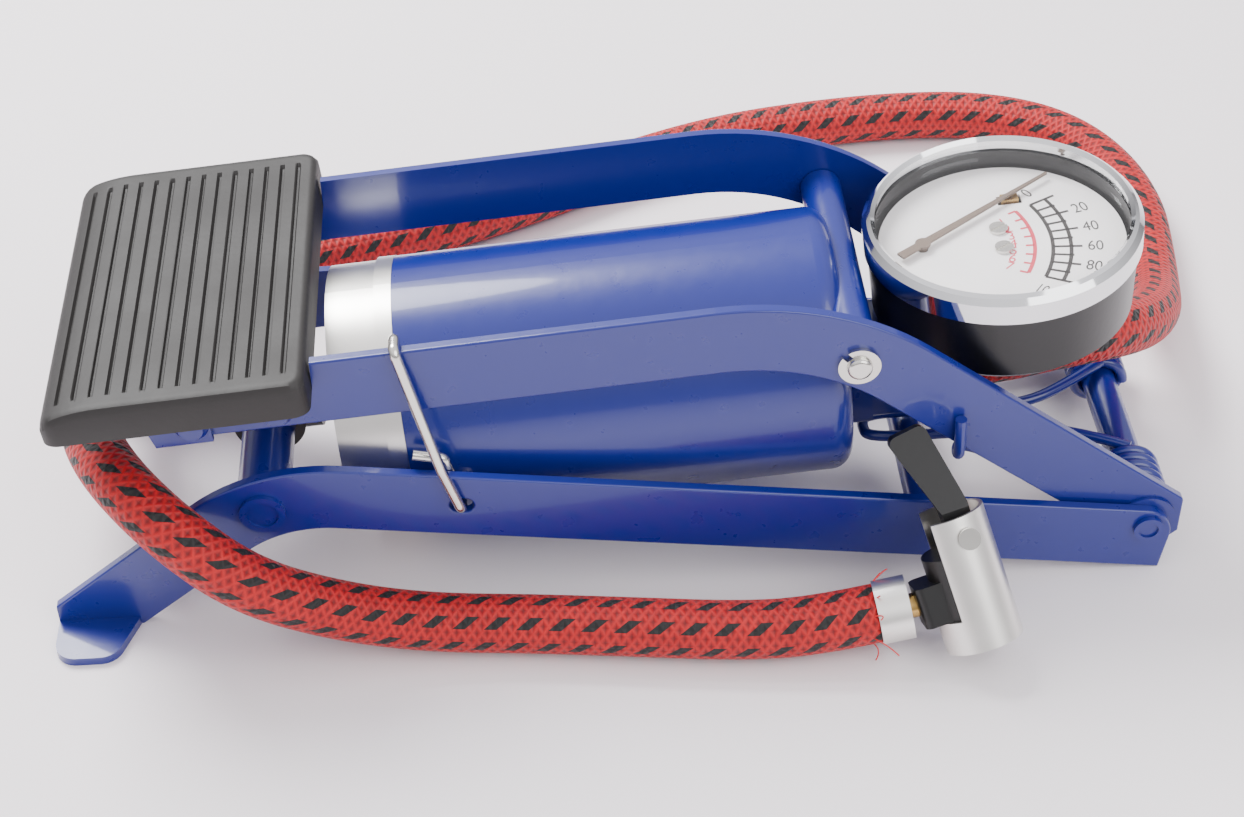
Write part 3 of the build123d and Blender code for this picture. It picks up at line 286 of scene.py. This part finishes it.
hoseStart = inBarrel(hoseValues["nippleAlong"], hoseValues["nippleUp"])
junction = Vector((-109.5, 21.7, 27.0))
junctionWay = Vector((-0.06, -0.985, 0.16)).normalized()
backPoints = [
    hoseStart, hoseStart + alongBarrel * hoseValues["straightOut"],
    (95.5, 2.5, 33.4), (108.0, 8.0, 30.5), (118.0, 18.0, 24.0),
    (125.5, 31.5, 16.5), (130.0, 47.0, 9.2), (133.5, 64.5, 6.2), (135.8, 84.0, 6.2), (132.0, 103.5, 6.2),
    (122.0, 119.0, 6.2), (105.0, 127.5, 6.2), (84.0, 129.4, 6.2), (59.0, 127.4, 6.2), (34.0, 122.6, 6.2),
    (9.5, 112.7, 6.2), (-14.5, 99.7, 6.2), (-38.5, 89.2, 6.2), (-62.0, 81.7, 6.4), (-82.0, 72.2, 9.5),
    (-97.0, 58.2, 17.0), junction - junctionWay * hoseValues["backJoinRun"], junction,
]
frontPoints = [
    junction, junction + junctionWay * hoseValues["frontJoinRun"],
    (-107.0, -14.0, 34.0), (-99.5, -30.0, 37.0), (-88.5, -41.5, 33.0),
    (-75.0, -46.4, 22.5), (-58.0, -44.6, 12.0), (-40.0, -44.2, 6.8), (-18.5, -45.6, 6.2), (3.0, -48.4, 6.4),
    (22.0, -50.6, 6.2), (37.0, -51.4, 7.0), (50.0, -50.9, 9.4),
]


# A smooth NURBS line drawn towards the given points, which are in mm.
def splineCurve(name, points, bevel=0.0, resolution=12):
    data = bpy.data.curves.new(name, "CURVE")
    data.dimensions = "3D"
    data.bevel_depth = bevel
    data.bevel_resolution = 4
    data.resolution_u = resolution
    data.use_fill_caps = True
    spline = data.splines.new("NURBS")
    spline.points.add(len(points) - 1)
    for point, place in zip(spline.points, points):
        point.co = (*(Vector(place) * mm), 1)
    spline.order_u = 3
    spline.use_endpoint_u = True
    return data


def pathOf(name, points):
    data = splineCurve(name, points)
    holder = bpy.data.objects.new(name, data)
    mesh = bpy.data.meshes.new_from_object(holder)
    return [v.co.copy() for v in mesh.vertices]


def newObject(name, verts, faces, material, uvs=None, smooth=True):
    mesh = bpy.data.meshes.new(name)
    mesh.from_pydata([tuple(v) for v in verts], [], faces)
    if uvs:
        layer = mesh.uv_layers.new(name="alongAround")
        for loopIndex, uv in enumerate(uvs):
            layer.data[loopIndex].uv = uv
    mesh.materials.append(material)
    for face in mesh.polygons:
        face.use_smooth = smooth
    piece = bpy.data.objects.new(name, mesh)
    bpy.context.scene.collection.objects.link(piece)
    return piece


# Sweeps a round skin along the path. Its UV holds mm along and turns around.
def tubeOnPath(name, path, radius, material, startAlong=0.0):
    sides = hoseValues["sides"]
    verts, faces, uvs = [], [], []
    side = Vector((0, 0, 1))
    along = startAlong
    alongs = []
    for index, point in enumerate(path):
        before = path[max(index - 1, 0)]
        after = path[min(index + 1, len(path) - 1)]
        way = (after - before).normalized()
        side = (side - way * side.dot(way)).normalized()
        other = way.cross(side)
        if index:
            along += (point - path[index - 1]).length / mm
        alongs.append(along)
        for turn in range(sides):
            angle = 2 * math.pi * turn / sides
            verts.append(point + (side * math.cos(angle) + other * math.sin(angle)) * radius)
    for ring in range(len(path) - 1):
        for turn in range(sides):
            nextTurn = (turn + 1) % sides
            near = ring * sides
            far = near + sides
            faces.append((near + turn, near + nextTurn, far + nextTurn, far + turn))
            low, high = turn / sides, (turn + 1) / sides
            uvs += [(alongs[ring], low), (alongs[ring], high), (alongs[ring + 1], high), (alongs[ring + 1], low)]
    lastRing = (len(path) - 1) * sides
    faces.append(tuple(reversed(range(sides))))
    faces.append(tuple(range(lastRing, lastRing + sides)))
    uvs += [(startAlong, hoseValues["capTurn"])] * sides + [(along, hoseValues["capTurn"])] * sides
    return newObject(name, verts, faces, material, uvs), along


def mathNode(tree, operation, first, second=None):
    node = addNode(tree, "ShaderNodeMath", operation=operation)
    for index, value in enumerate((first, second)):
        if value is None:
            continue
        if isinstance(value, (int, float)):
            node.inputs[index].default_value = value
        else:
            tree.links.new(value, node.inputs[index])
    return node.outputs[0]


# Braid: two opposed helices of raised red strands, with painted shade darkening the red in the gaps between them,
# and staggered slanting black marks over them.
def braidFinish():
    material, tree, shader = makeMaterial("redBraid", Roughness=0.6, IOR=1.45, Sheen_Weight=0.05)
    layout = addNode(tree, "ShaderNodeUVMap", uv_map="alongAround")
    split = addNode(tree, "ShaderNodeSeparateXYZ", {}, {"Vector": layout.outputs[0]})
    along, around = split.outputs[0], split.outputs[1]
    strands = mathNode(tree, "MULTIPLY", around, hoseValues["strands"])
    steps = mathNode(tree, "DIVIDE", along, hoseValues["braidPitch"])
    leftTurns = mathNode(tree, "ADD", steps, strands)
    rightTurns = mathNode(tree, "SUBTRACT", steps, strands)
    left = mathNode(tree, "SINE", mathNode(tree, "MULTIPLY", leftTurns, 2 * math.pi))
    right = mathNode(tree, "SINE", mathNode(tree, "MULTIPLY", rightTurns, 2 * math.pi))
    weave = mathNode(tree, "MAXIMUM", left, right)
    rowPlace = mathNode(tree, "MULTIPLY", around, hoseValues["tracerRows"])
    row = mathNode(tree, "FLOOR", rowPlace)
    across = mathNode(tree, "SUBTRACT", mathNode(tree, "SUBTRACT", rowPlace, row), 0.5)
    stagger = mathNode(tree, "MULTIPLY", row, hoseValues["rowStagger"] / hoseValues["tracerRows"])
    pitches = mathNode(tree, "DIVIDE", along, hoseValues["tracerPitch"])
    slant = mathNode(tree, "MULTIPLY", across, hoseValues["markSlant"])
    slanted = mathNode(tree, "ADD", pitches, mathNode(tree, "ADD", stagger, slant))
    inPitch = mathNode(tree, "SUBTRACT", mathNode(tree, "FRACT", slanted), 0.5)
    isLong = mathNode(tree, "LESS_THAN", mathNode(tree, "ABSOLUTE", inPitch), hoseValues["markHalfLength"])
    isWide = mathNode(tree, "LESS_THAN", mathNode(tree, "ABSOLUTE", across), hoseValues["markHalfWidth"])
    mark = mathNode(tree, "MULTIPLY", isLong, isWide)
    # painted shade: the red is darkest in the gaps between strands and brightest on their raised tops, then random
    # wear noise varies that tone
    paintedGapShade = addNode(tree, "ShaderNodeMapRange", {"From Min": -1.0, "From Max": 1.0}, {"Value": weave})
    wear = objectNoise(tree, hoseValues["wearScale"])
    paintedGapShadeAndWear = mathNode(tree, "MULTIPLY", paintedGapShade.outputs[0], mathNode(tree, "ADD", wear.outputs[0], 0.35))
    gapShadeRed, red, black = (linear(hoseValues[key]) for key in ("gapShadeRed", "red", "black"))
    reds = addNode(tree, "ShaderNodeMixRGB", {"Color1": gapShadeRed, "Color2": red}, {"Fac": paintedGapShadeAndWear})
    full = addNode(tree, "ShaderNodeMixRGB", {"Color2": black}, {"Fac": mark, "Color1": reds.outputs[0]})
    tree.links.new(full.outputs[0], shader.inputs["Base Color"])
    addBump(tree, shader, weave, 0.5, 0.00035)
    return material


braid = braidFinish()
hoseRadius = hoseValues["diameter"] / 2 * mm
backPath = pathOf("hoseBackLine", backPoints)
frontPath = pathOf("hoseFrontLine", frontPoints)
hoseBack, backLength = tubeOnPath("hoseBack", backPath, hoseRadius, braid)
hoseFront, frontLength = tubeOnPath("hoseFront", frontPath, hoseRadius, braid, startAlong=backLength)
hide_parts("hose_back")
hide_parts("hose_front")
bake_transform(hoseBack)
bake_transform(hoseFront)
print("hose lengths", round(backLength), round(frontLength - backLength))

# Pedal pad: a crowned rubber cover with fine grooves across it.
padValues = {
    "length": 51.5,
    "halfWidth": 38.5,
    "low": -6.35,
    "top": 1.5,
    "grooves": 14,
    "groovePitch": 3.35,
    "grooveDepth": 0.8,
    "grooveWidth": 0.34,
    "firstGroove": 3.9,
    "grooveEnd": 4.2,
    "edgeRound": 1.6,
    "cornerRound": 3.6,
    "cornerShare": 0.75,
    "rollStart": 38.5,
    "rollLength": 13.0,
    "rollLimit": 0.985,
    "rollDrop": 4.2,
    "grooveFade": 0.8,
    "grooveFlat": 0.7,
    "stepsAlong": 250,
    "stepsAcross": 110,
    "sharpAngle": 35,
}
pedalTilt = math.radians(5.2)
pedalAlong = Vector((math.cos(pedalTilt), 0, math.sin(pedalTilt)))
pedalUp = Vector((-math.sin(pedalTilt), 0, math.cos(pedalTilt)))
pedalOrigin = Vector((-59.4, 0, 65.14))


# Height of the pad's skin at u back from its right end and y across, edges rolled over.
def padHeight(u, y):
    p = padValues
    past = min(max(0.0, (u - p["rollStart"]) / p["rollLength"]), p["rollLimit"])
    height = p["top"] - (1 - math.sqrt(max(0.0, 1 - past ** 2))) * p["rollDrop"]
    cornerX = p["length"] - p["cornerRound"]
    beyondX = max(0.0, u - cornerX, p["cornerRound"] - u)
    beyondY = max(0.0, abs(y) - (p["halfWidth"] - p["cornerRound"]))
    inset = p["cornerRound"] - math.hypot(beyondX, beyondY)
    if inset < p["edgeRound"]:
        drop = p["edgeRound"] - max(inset, 0.0)
        height -= p["edgeRound"] - math.sqrt(max(0.0, p["edgeRound"] ** 2 - drop ** 2))
    endFade = max(0.0, min(1.0, (p["halfWidth"] - p["grooveEnd"] - abs(y)) / p["grooveFade"]))
    number = round((u - p["firstGroove"]) / p["groovePitch"])
    if 0 <= number < p["grooves"]:
        away = abs(u - p["firstGroove"] - number * p["groovePitch"]) / p["grooveWidth"]
        flat = p["grooveFlat"]
        if away < 2 * flat:
            height -= p["grooveDepth"] * endFade * (1 - max(0.0, away - flat) / flat)
    return height


def padPiece():
    p = padValues
    alongSteps, acrossSteps = p["stepsAlong"], p["stepsAcross"]
    us = [p["length"] * i / alongSteps for i in range(alongSteps + 1)]
    ys = [-p["halfWidth"] + 2 * p["halfWidth"] * j / acrossSteps for j in range(acrossSteps + 1)]
    verts = []
    faces = []

    def place(u, y, height):
        # Corners are drawn in so that the outline is rounded.
        limit = p["halfWidth"]
        for edge in (u, p["length"] - u):
            if edge < p["cornerRound"]:
                drawIn = p["cornerRound"] * p["cornerShare"]
                bow = math.sqrt(max(0.0, 1 - (1 - edge / p["cornerRound"]) ** 2))
                limit = min(limit, p["halfWidth"] - drawIn + bow * drawIn)
        y = max(-limit, min(limit, y))
        return (pedalOrigin - pedalAlong * u + pedalUp * height + Vector((0, y, 0))) * mm

    for u in us:
        for y in ys:
            verts.append(place(u, y, padHeight(u, y)))
    for i in range(len(us) - 1):
        for j in range(len(ys) - 1):
            a = i * len(ys) + j
            faces.append((a, a + 1, a + len(ys) + 1, a + len(ys)))
    columns = len(ys)
    ring = [i * columns for i in range(len(us))]
    ring += [(len(us) - 1) * columns + j for j in range(1, columns)]
    ring += [i * columns + columns - 1 for i in range(len(us) - 2, -1, -1)]
    ring += [j for j in range(columns - 2, 0, -1)]
    base = len(verts)
    for index in ring:
        point = verts[index] / mm - pedalOrigin
        sunk = point - pedalUp * (point.dot(pedalUp) - p["low"])
        verts.append((pedalOrigin + sunk) * mm)
    count = len(ring)
    for k in range(count):
        n = (k + 1) % count
        faces.append((ring[n], ring[k], base + k, base + n))
    faces.append(tuple(base + k for k in range(count)))
    piece = newObject("pedalPad", verts, faces, finishes["pad_rubber"])
    piece.data.update()
    shape = bmesh.new()
    shape.from_mesh(piece.data)
    bmesh.ops.remove_doubles(shape, verts=shape.verts, dist=1e-6)
    bmesh.ops.recalc_face_normals(shape, faces=shape.faces)
    shape.to_mesh(piece.data)
    shape.free()
    piece.data.set_sharp_from_angle(angle=math.radians(padValues["sharpAngle"]))
    return piece


pad = padPiece()
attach(pad, "lever")
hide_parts("pedal_pad")
print("pad made")

# Double torsion spring: wound coils on the hinge, a loop in the middle and a hook on each lever bar.
springValues = {
    "wire": 2.4,
    "meanRadius": 5.2,
    "turns": 6.0,
    "innerY": 12.3,
    "outerY": 28.0,
    "coilSteps": 48,
    "sectionSides": 14,
}
hinge = Vector((109.0, 0, 11.7))


# Geometry Nodes: a spiral wire of given turns, radius, height and thickness.
def helixNodes():
    group = bpy.data.node_groups.new("coilNodes", "GeometryNodeTree")
    group.interface.new_socket("Geometry", in_out="INPUT", socket_type="NodeSocketGeometry")
    for name in ("Turns", "Mean Radius", "Height", "Wire Radius"):
        group.interface.new_socket(name, in_out="INPUT", socket_type="NodeSocketFloat")
    group.interface.new_socket("Material", in_out="INPUT", socket_type="NodeSocketMaterial")
    group.interface.new_socket("Geometry", in_out="OUTPUT", socket_type="NodeSocketGeometry")
    given = addNode(group, "NodeGroupInput")
    coil = addNode(group, "GeometryNodeCurveSpiral", {"Resolution": springValues["coilSteps"]}, {
        "Rotations": given.outputs["Turns"], "Start Radius": given.outputs["Mean Radius"],
        "End Radius": given.outputs["Mean Radius"], "Height": given.outputs["Height"]})
    section = addNode(group, "GeometryNodeCurvePrimitiveCircle", {
        "Resolution": springValues["sectionSides"]}, {"Radius": given.outputs["Wire Radius"]})
    skin = addNode(group, "GeometryNodeCurveToMesh", {"Fill Caps": True}, {
        "Curve": coil.outputs[0], "Profile Curve": section.outputs[0]})
    real = addNode(group, "GeometryNodeRealizeInstances", {}, {0: skin.outputs[0]})
    finish = addNode(group, "GeometryNodeSetMaterial", {}, {
        "Geometry": real.outputs[0], "Material": given.outputs["Material"]})
    output = addNode(group, "NodeGroupOutput")
    group.links.new(finish.outputs[0], output.inputs[0])
    return group


# Turns an object with modifiers, a bevelled curve or text into a plain mesh, placed in its vertices.
def plainMesh(name, holder, place, material):
    graph = bpy.context.evaluated_depsgraph_get()
    mesh = bpy.data.meshes.new_from_object(holder.evaluated_get(graph), depsgraph=graph)
    mesh.transform(place)
    if not mesh.materials:
        mesh.materials.append(material)
    for face in mesh.polygons:
        face.use_smooth = True
    piece = bpy.data.objects.new(name, mesh)
    bpy.context.scene.collection.objects.link(piece)
    return piece


coilGroup = helixNodes()


def coilPiece(name, side):
    holder = bpy.data.objects.new(name + "Maker", bpy.data.meshes.new(name + "Maker"))
    bpy.context.scene.collection.objects.link(holder)
    modifier = holder.modifiers.new("coil", "NODES")
    modifier.node_group = coilGroup
    height = (springValues["outerY"] - springValues["innerY"] - springValues["wire"]) * mm
    inputs = {"Turns": springValues["turns"], "Mean Radius": springValues["meanRadius"] * mm, "Height": height,
              "Wire Radius": springValues["wire"] / 2 * mm, "Material": finishes["blue_enamel"]}
    for item in coilGroup.interface.items_tree:
        if item.in_out == "INPUT" and item.name in inputs:
            modifier[item.identifier] = inputs[item.name]
    bpy.context.view_layer.update()
    startY = side * (springValues["innerY"] + springValues["wire"] / 2)
    turn = Matrix.Rotation(math.radians(-90 * side), 4, "X")
    place = Matrix.Translation(Vector((hinge.x, startY, hinge.z)) * mm) @ turn
    piece = plainMesh(name, holder, place, finishes["blue_enamel"])
    bpy.data.objects.remove(holder)
    return piece


def wirePiece(name, points, radius, material):
    data = splineCurve(name, points, radius * mm, 10)
    holder = bpy.data.objects.new(name + "Maker", data)
    bpy.context.scene.collection.objects.link(holder)
    bpy.context.view_layer.update()
    piece = plainMesh(name, holder, Matrix.Identity(4), material)
    bpy.data.objects.remove(holder)
    return piece


# Gathers the faces of several pieces into one list, and removes the pieces.
def joinPieces(parts):
    verts, faces = [], []
    for part in parts:
        start = len(verts)
        verts += [v.co.copy() for v in part.data.vertices]
        faces += [tuple(start + i for i in face.vertices) for face in part.data.polygons]
        bpy.data.objects.remove(part)
    return verts, faces


# The wire's bends, in mm: the middle loop runs out and back, and each leg rises to a hook.
loopPoints = [
    (109, -14, 16.9), (101, -9.5, 16.9), (90, -5.8, 16.5), (74, -5.9, 16.2), (54.5, -5.9, 16.0), (53.6, -2, 15.9),
    (54.5, 1.9, 16.0), (74, 1.9, 16.2), (90, 1.9, 16.5), (101, 8, 16.9), (109, 14, 16.9),
]
farLegPoints = [
    (109, 26.3, 16.9), (100, 26.3, 19.6), (84, 26.3, 25.5), (72, 26.6, 31.0), (68.4, 27.6, 33.0),
    (68, 30.4, 32.8), (67.9, 32.0, 34.4), (67.8, 31.95, 38), (67.6, 31.95, 43.4),
]
wireRadius = springValues["wire"] / 2
springPieces = [coilPiece("springCoilNear", -1), coilPiece("springCoilFar", 1)]
springPieces.append(wirePiece("springLoop", loopPoints, wireRadius, finishes["blue_enamel"]))
for side, label in ((-1, "Near"), (1, "Far")):
    legPoints = [(x, side * y, z) for x, y, z in farLegPoints]
    springPieces.append(wirePiece("springLeg" + label, legPoints, wireRadius, finishes["blue_enamel"]))

# A few frayed threads where the braid ends at the chuck's ferrule.
frayValues = {
    "threads": 9,
    "length": 7.0,
    "radius": 0.13,
    "inset": 1.2,
    "rootRadius": 5.9,
    "turnStep": 2.4,
    "lengthStep": 3.7,
    "swayStep": 5.1,
    "floorGap": 0.5,
}
frayWay = Vector((-0.975, -0.045, -0.18)).normalized()
frayStart = Vector(frontPoints[-1]) + frayWay * frayValues["inset"]
frayPoints = []
for number in range(frayValues["threads"]):
    angle = frayValues["turnStep"] * number
    spread = Vector((0, math.cos(angle), math.sin(angle)))
    root = frayStart + spread * frayValues["rootRadius"]
    reach = frayValues["length"] * (0.5 + 0.5 * abs(math.sin(frayValues["lengthStep"] * number)))
    middle = root + spread * reach * 0.35 - frayWay * reach * 0.4
    sway = 0.3 * reach * math.sin(frayValues["swayStep"] * number)
    tip = middle + spread * reach * 0.2 + Vector((sway, -0.15 * reach, -0.1 * reach))
    tip.z = max(tip.z, frayValues["floorGap"])
    middle.z = max(middle.z, frayValues["floorGap"])
    frayPoints.append([root, middle, tip])
threadRed = mouldedFinish("looseRedThread", "#C4161C", 0.6, 0.7)
threadPieces = []
for number, points in enumerate(frayPoints):
    threadPieces.append(wirePiece("fray%d" % number, points, frayValues["radius"], threadRed))
fray = newObject("frayedThreads", *joinPieces(threadPieces), threadRed)
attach(fray, "base")
for piece in springPieces:
    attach(piece, "base")
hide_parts("torsion_spring")
print("spring made")

# Gauge dial: a scale of arcs and ticks about the needle's pivot, with a small second scale inside it.
dialValues = {
    "pivotBack": -16.0,
    "gaugeAlong": 153.7,
    "printHeight": 4.6 + 15.43,
    "scaleStart": 23.5,
    "scaleEnd": -30.8,
    "innerArc": 26.0,
    "outerArc": 29.6,
    "redArc": 22.4,
    "ink": "#26211F",
    "redInk": "#C8324A",
    "arcSteps": 60,
    "arcWidth": 0.8,
    "ticks": 10,
    "tickWidth": 0.65,
    "longTick": 2.2,
    "shortTick": 0.6,
    "redTicks": 7,
    "redTickWidth": 0.55,
    "redTick": 1.8,
    "numberRadius": 34.4,
    "numberSize": 4.4,
    "numberNarrow": 0.75,
    "redRadius": 18.2,
    "redSize": 3.6,
    "redNarrow": 0.9,
}
inkBlack = mouldedFinish("dialInk", dialValues["ink"], 0.5, 0.6)
inkRed = mouldedFinish("dialRedInk", dialValues["redInk"], 0.5, 0.6)


def dialPoint(radius, degrees):
    angle = math.radians(degrees)
    x = dialValues["pivotBack"] + radius * math.cos(angle)
    y = radius * math.sin(angle)
    return inBarrel(dialValues["gaugeAlong"] + x, dialValues["printHeight"], y) * mm


def scaleAngle(part):
    return dialValues["scaleStart"] + (dialValues["scaleEnd"] - dialValues["scaleStart"]) * part


def arcStrip(verts, faces, radius):
    start = len(verts)
    steps = dialValues["arcSteps"]
    half = dialValues["arcWidth"] / 2
    for step in range(steps + 1):
        angle = scaleAngle(step / steps)
        verts += [dialPoint(radius - half, angle), dialPoint(radius + half, angle)]
    for step in range(steps):
        a = start + 2 * step
        faces.append((a, a + 2, a + 3, a + 1))


def tickMark(verts, faces, part, low, high, width):
    start = len(verts)
    angle = scaleAngle(part)
    for radius, turn in ((low, -1), (high, -1), (high, 1), (low, 1)):
        verts.append(dialPoint(radius, angle + turn * math.degrees(width / 2 / radius)))
    faces.append((start, start + 1, start + 2, start + 3))


def numberPiece(name, text, radius, angle, size, material, narrow):
    data = bpy.data.curves.new(name, "FONT")
    data.body = text
    data.size = size * mm
    data.align_x = "CENTER"
    data.align_y = "CENTER"
    holder = bpy.data.objects.new(name + "Maker", data)
    bpy.context.scene.collection.objects.link(holder)
    bpy.context.view_layer.update()
    turn = Matrix.Rotation(math.radians(angle), 4, "Z")
    tilt = Matrix((alongBarrel, Vector((0, 1, 0)), upBarrel)).transposed().to_4x4()
    place = Matrix.Translation(dialPoint(radius, angle)) @ tilt @ turn @ Matrix.Diagonal((narrow, 1, 1, 1))
    piece = plainMesh(name, holder, place, material)
    bpy.data.objects.remove(holder)
    return piece


blackVerts, blackFaces = [], []
arcStrip(blackVerts, blackFaces, dialValues["innerArc"])
arcStrip(blackVerts, blackFaces, dialValues["outerArc"])
for tick in range(dialValues["ticks"] + 1):
    past = dialValues["longTick"] if tick % 2 == 0 else dialValues["shortTick"]
    tickMark(blackVerts, blackFaces, tick / dialValues["ticks"], dialValues["innerArc"],
             dialValues["outerArc"] + past, dialValues["tickWidth"])
redVerts, redFaces = [], []
arcStrip(redVerts, redFaces, dialValues["redArc"])
for tick in range(dialValues["redTicks"] + 1):
    tickMark(redVerts, redFaces, tick / dialValues["redTicks"], dialValues["redArc"] - dialValues["redTick"],
             dialValues["redArc"], dialValues["redTickWidth"])
blackNumbers = []
for n in (20, 40, 60, 80):
    blackNumbers.append(numberPiece("mark%d" % n, str(n), dialValues["numberRadius"], scaleAngle(n / 100),
                                    dialValues["numberSize"], inkBlack, dialValues["numberNarrow"]))
# The two end numbers sit past the ends of the scale, a little further in.
blackNumbers.append(numberPiece("mark0", "0", 28.0, scaleAngle(0) + 7.5, 4.2, inkBlack, 0.75))
blackNumbers.append(numberPiece("mark100", "100", 27.6, scaleAngle(1) - 8.5, 3.8, inkBlack, 0.7))
redNumbers = []
for n in range(1, dialValues["redTicks"] + 1):
    redNumbers.append(numberPiece("redMark%d" % n, str(n), dialValues["redRadius"], scaleAngle((n - 0.3) / 7),
                                  dialValues["redSize"], inkRed, dialValues["redNarrow"]))
prints = (
    ("dialScale", blackVerts, blackFaces, blackNumbers, inkBlack),
    ("dialRedScale", redVerts, redFaces, redNumbers, inkRed),
)
for label, verts, faces, numbers, ink in prints:
    moreVerts, moreFaces = joinPieces(numbers)
    faces += [tuple(len(verts) + i for i in face) for face in moreFaces]
    verts += moreVerts
    scale = newObject(label, verts, faces, ink, smooth=False)
    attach(scale, "barrel")
print("dial made")

# Floor: a pale sweep the pump stands on.
floorFinish = makeMaterial("paleFloor", Base_Color=linear(setValues["floorColour"]), Roughness=0.7)[0]
floorMesh = bpy.data.meshes.new("floor")
half = setValues["floorHalf"]
floorMesh.from_pydata([(-half, -half, 0), (half, -half, 0), (half, half, 0), (-half, half, 0)], [], [(0, 1, 2, 3)])
floorMesh.materials.append(floorFinish)
floor = bpy.data.objects.new("floor", floorMesh)
bpy.context.scene.collection.objects.link(floor)

print("scene built")
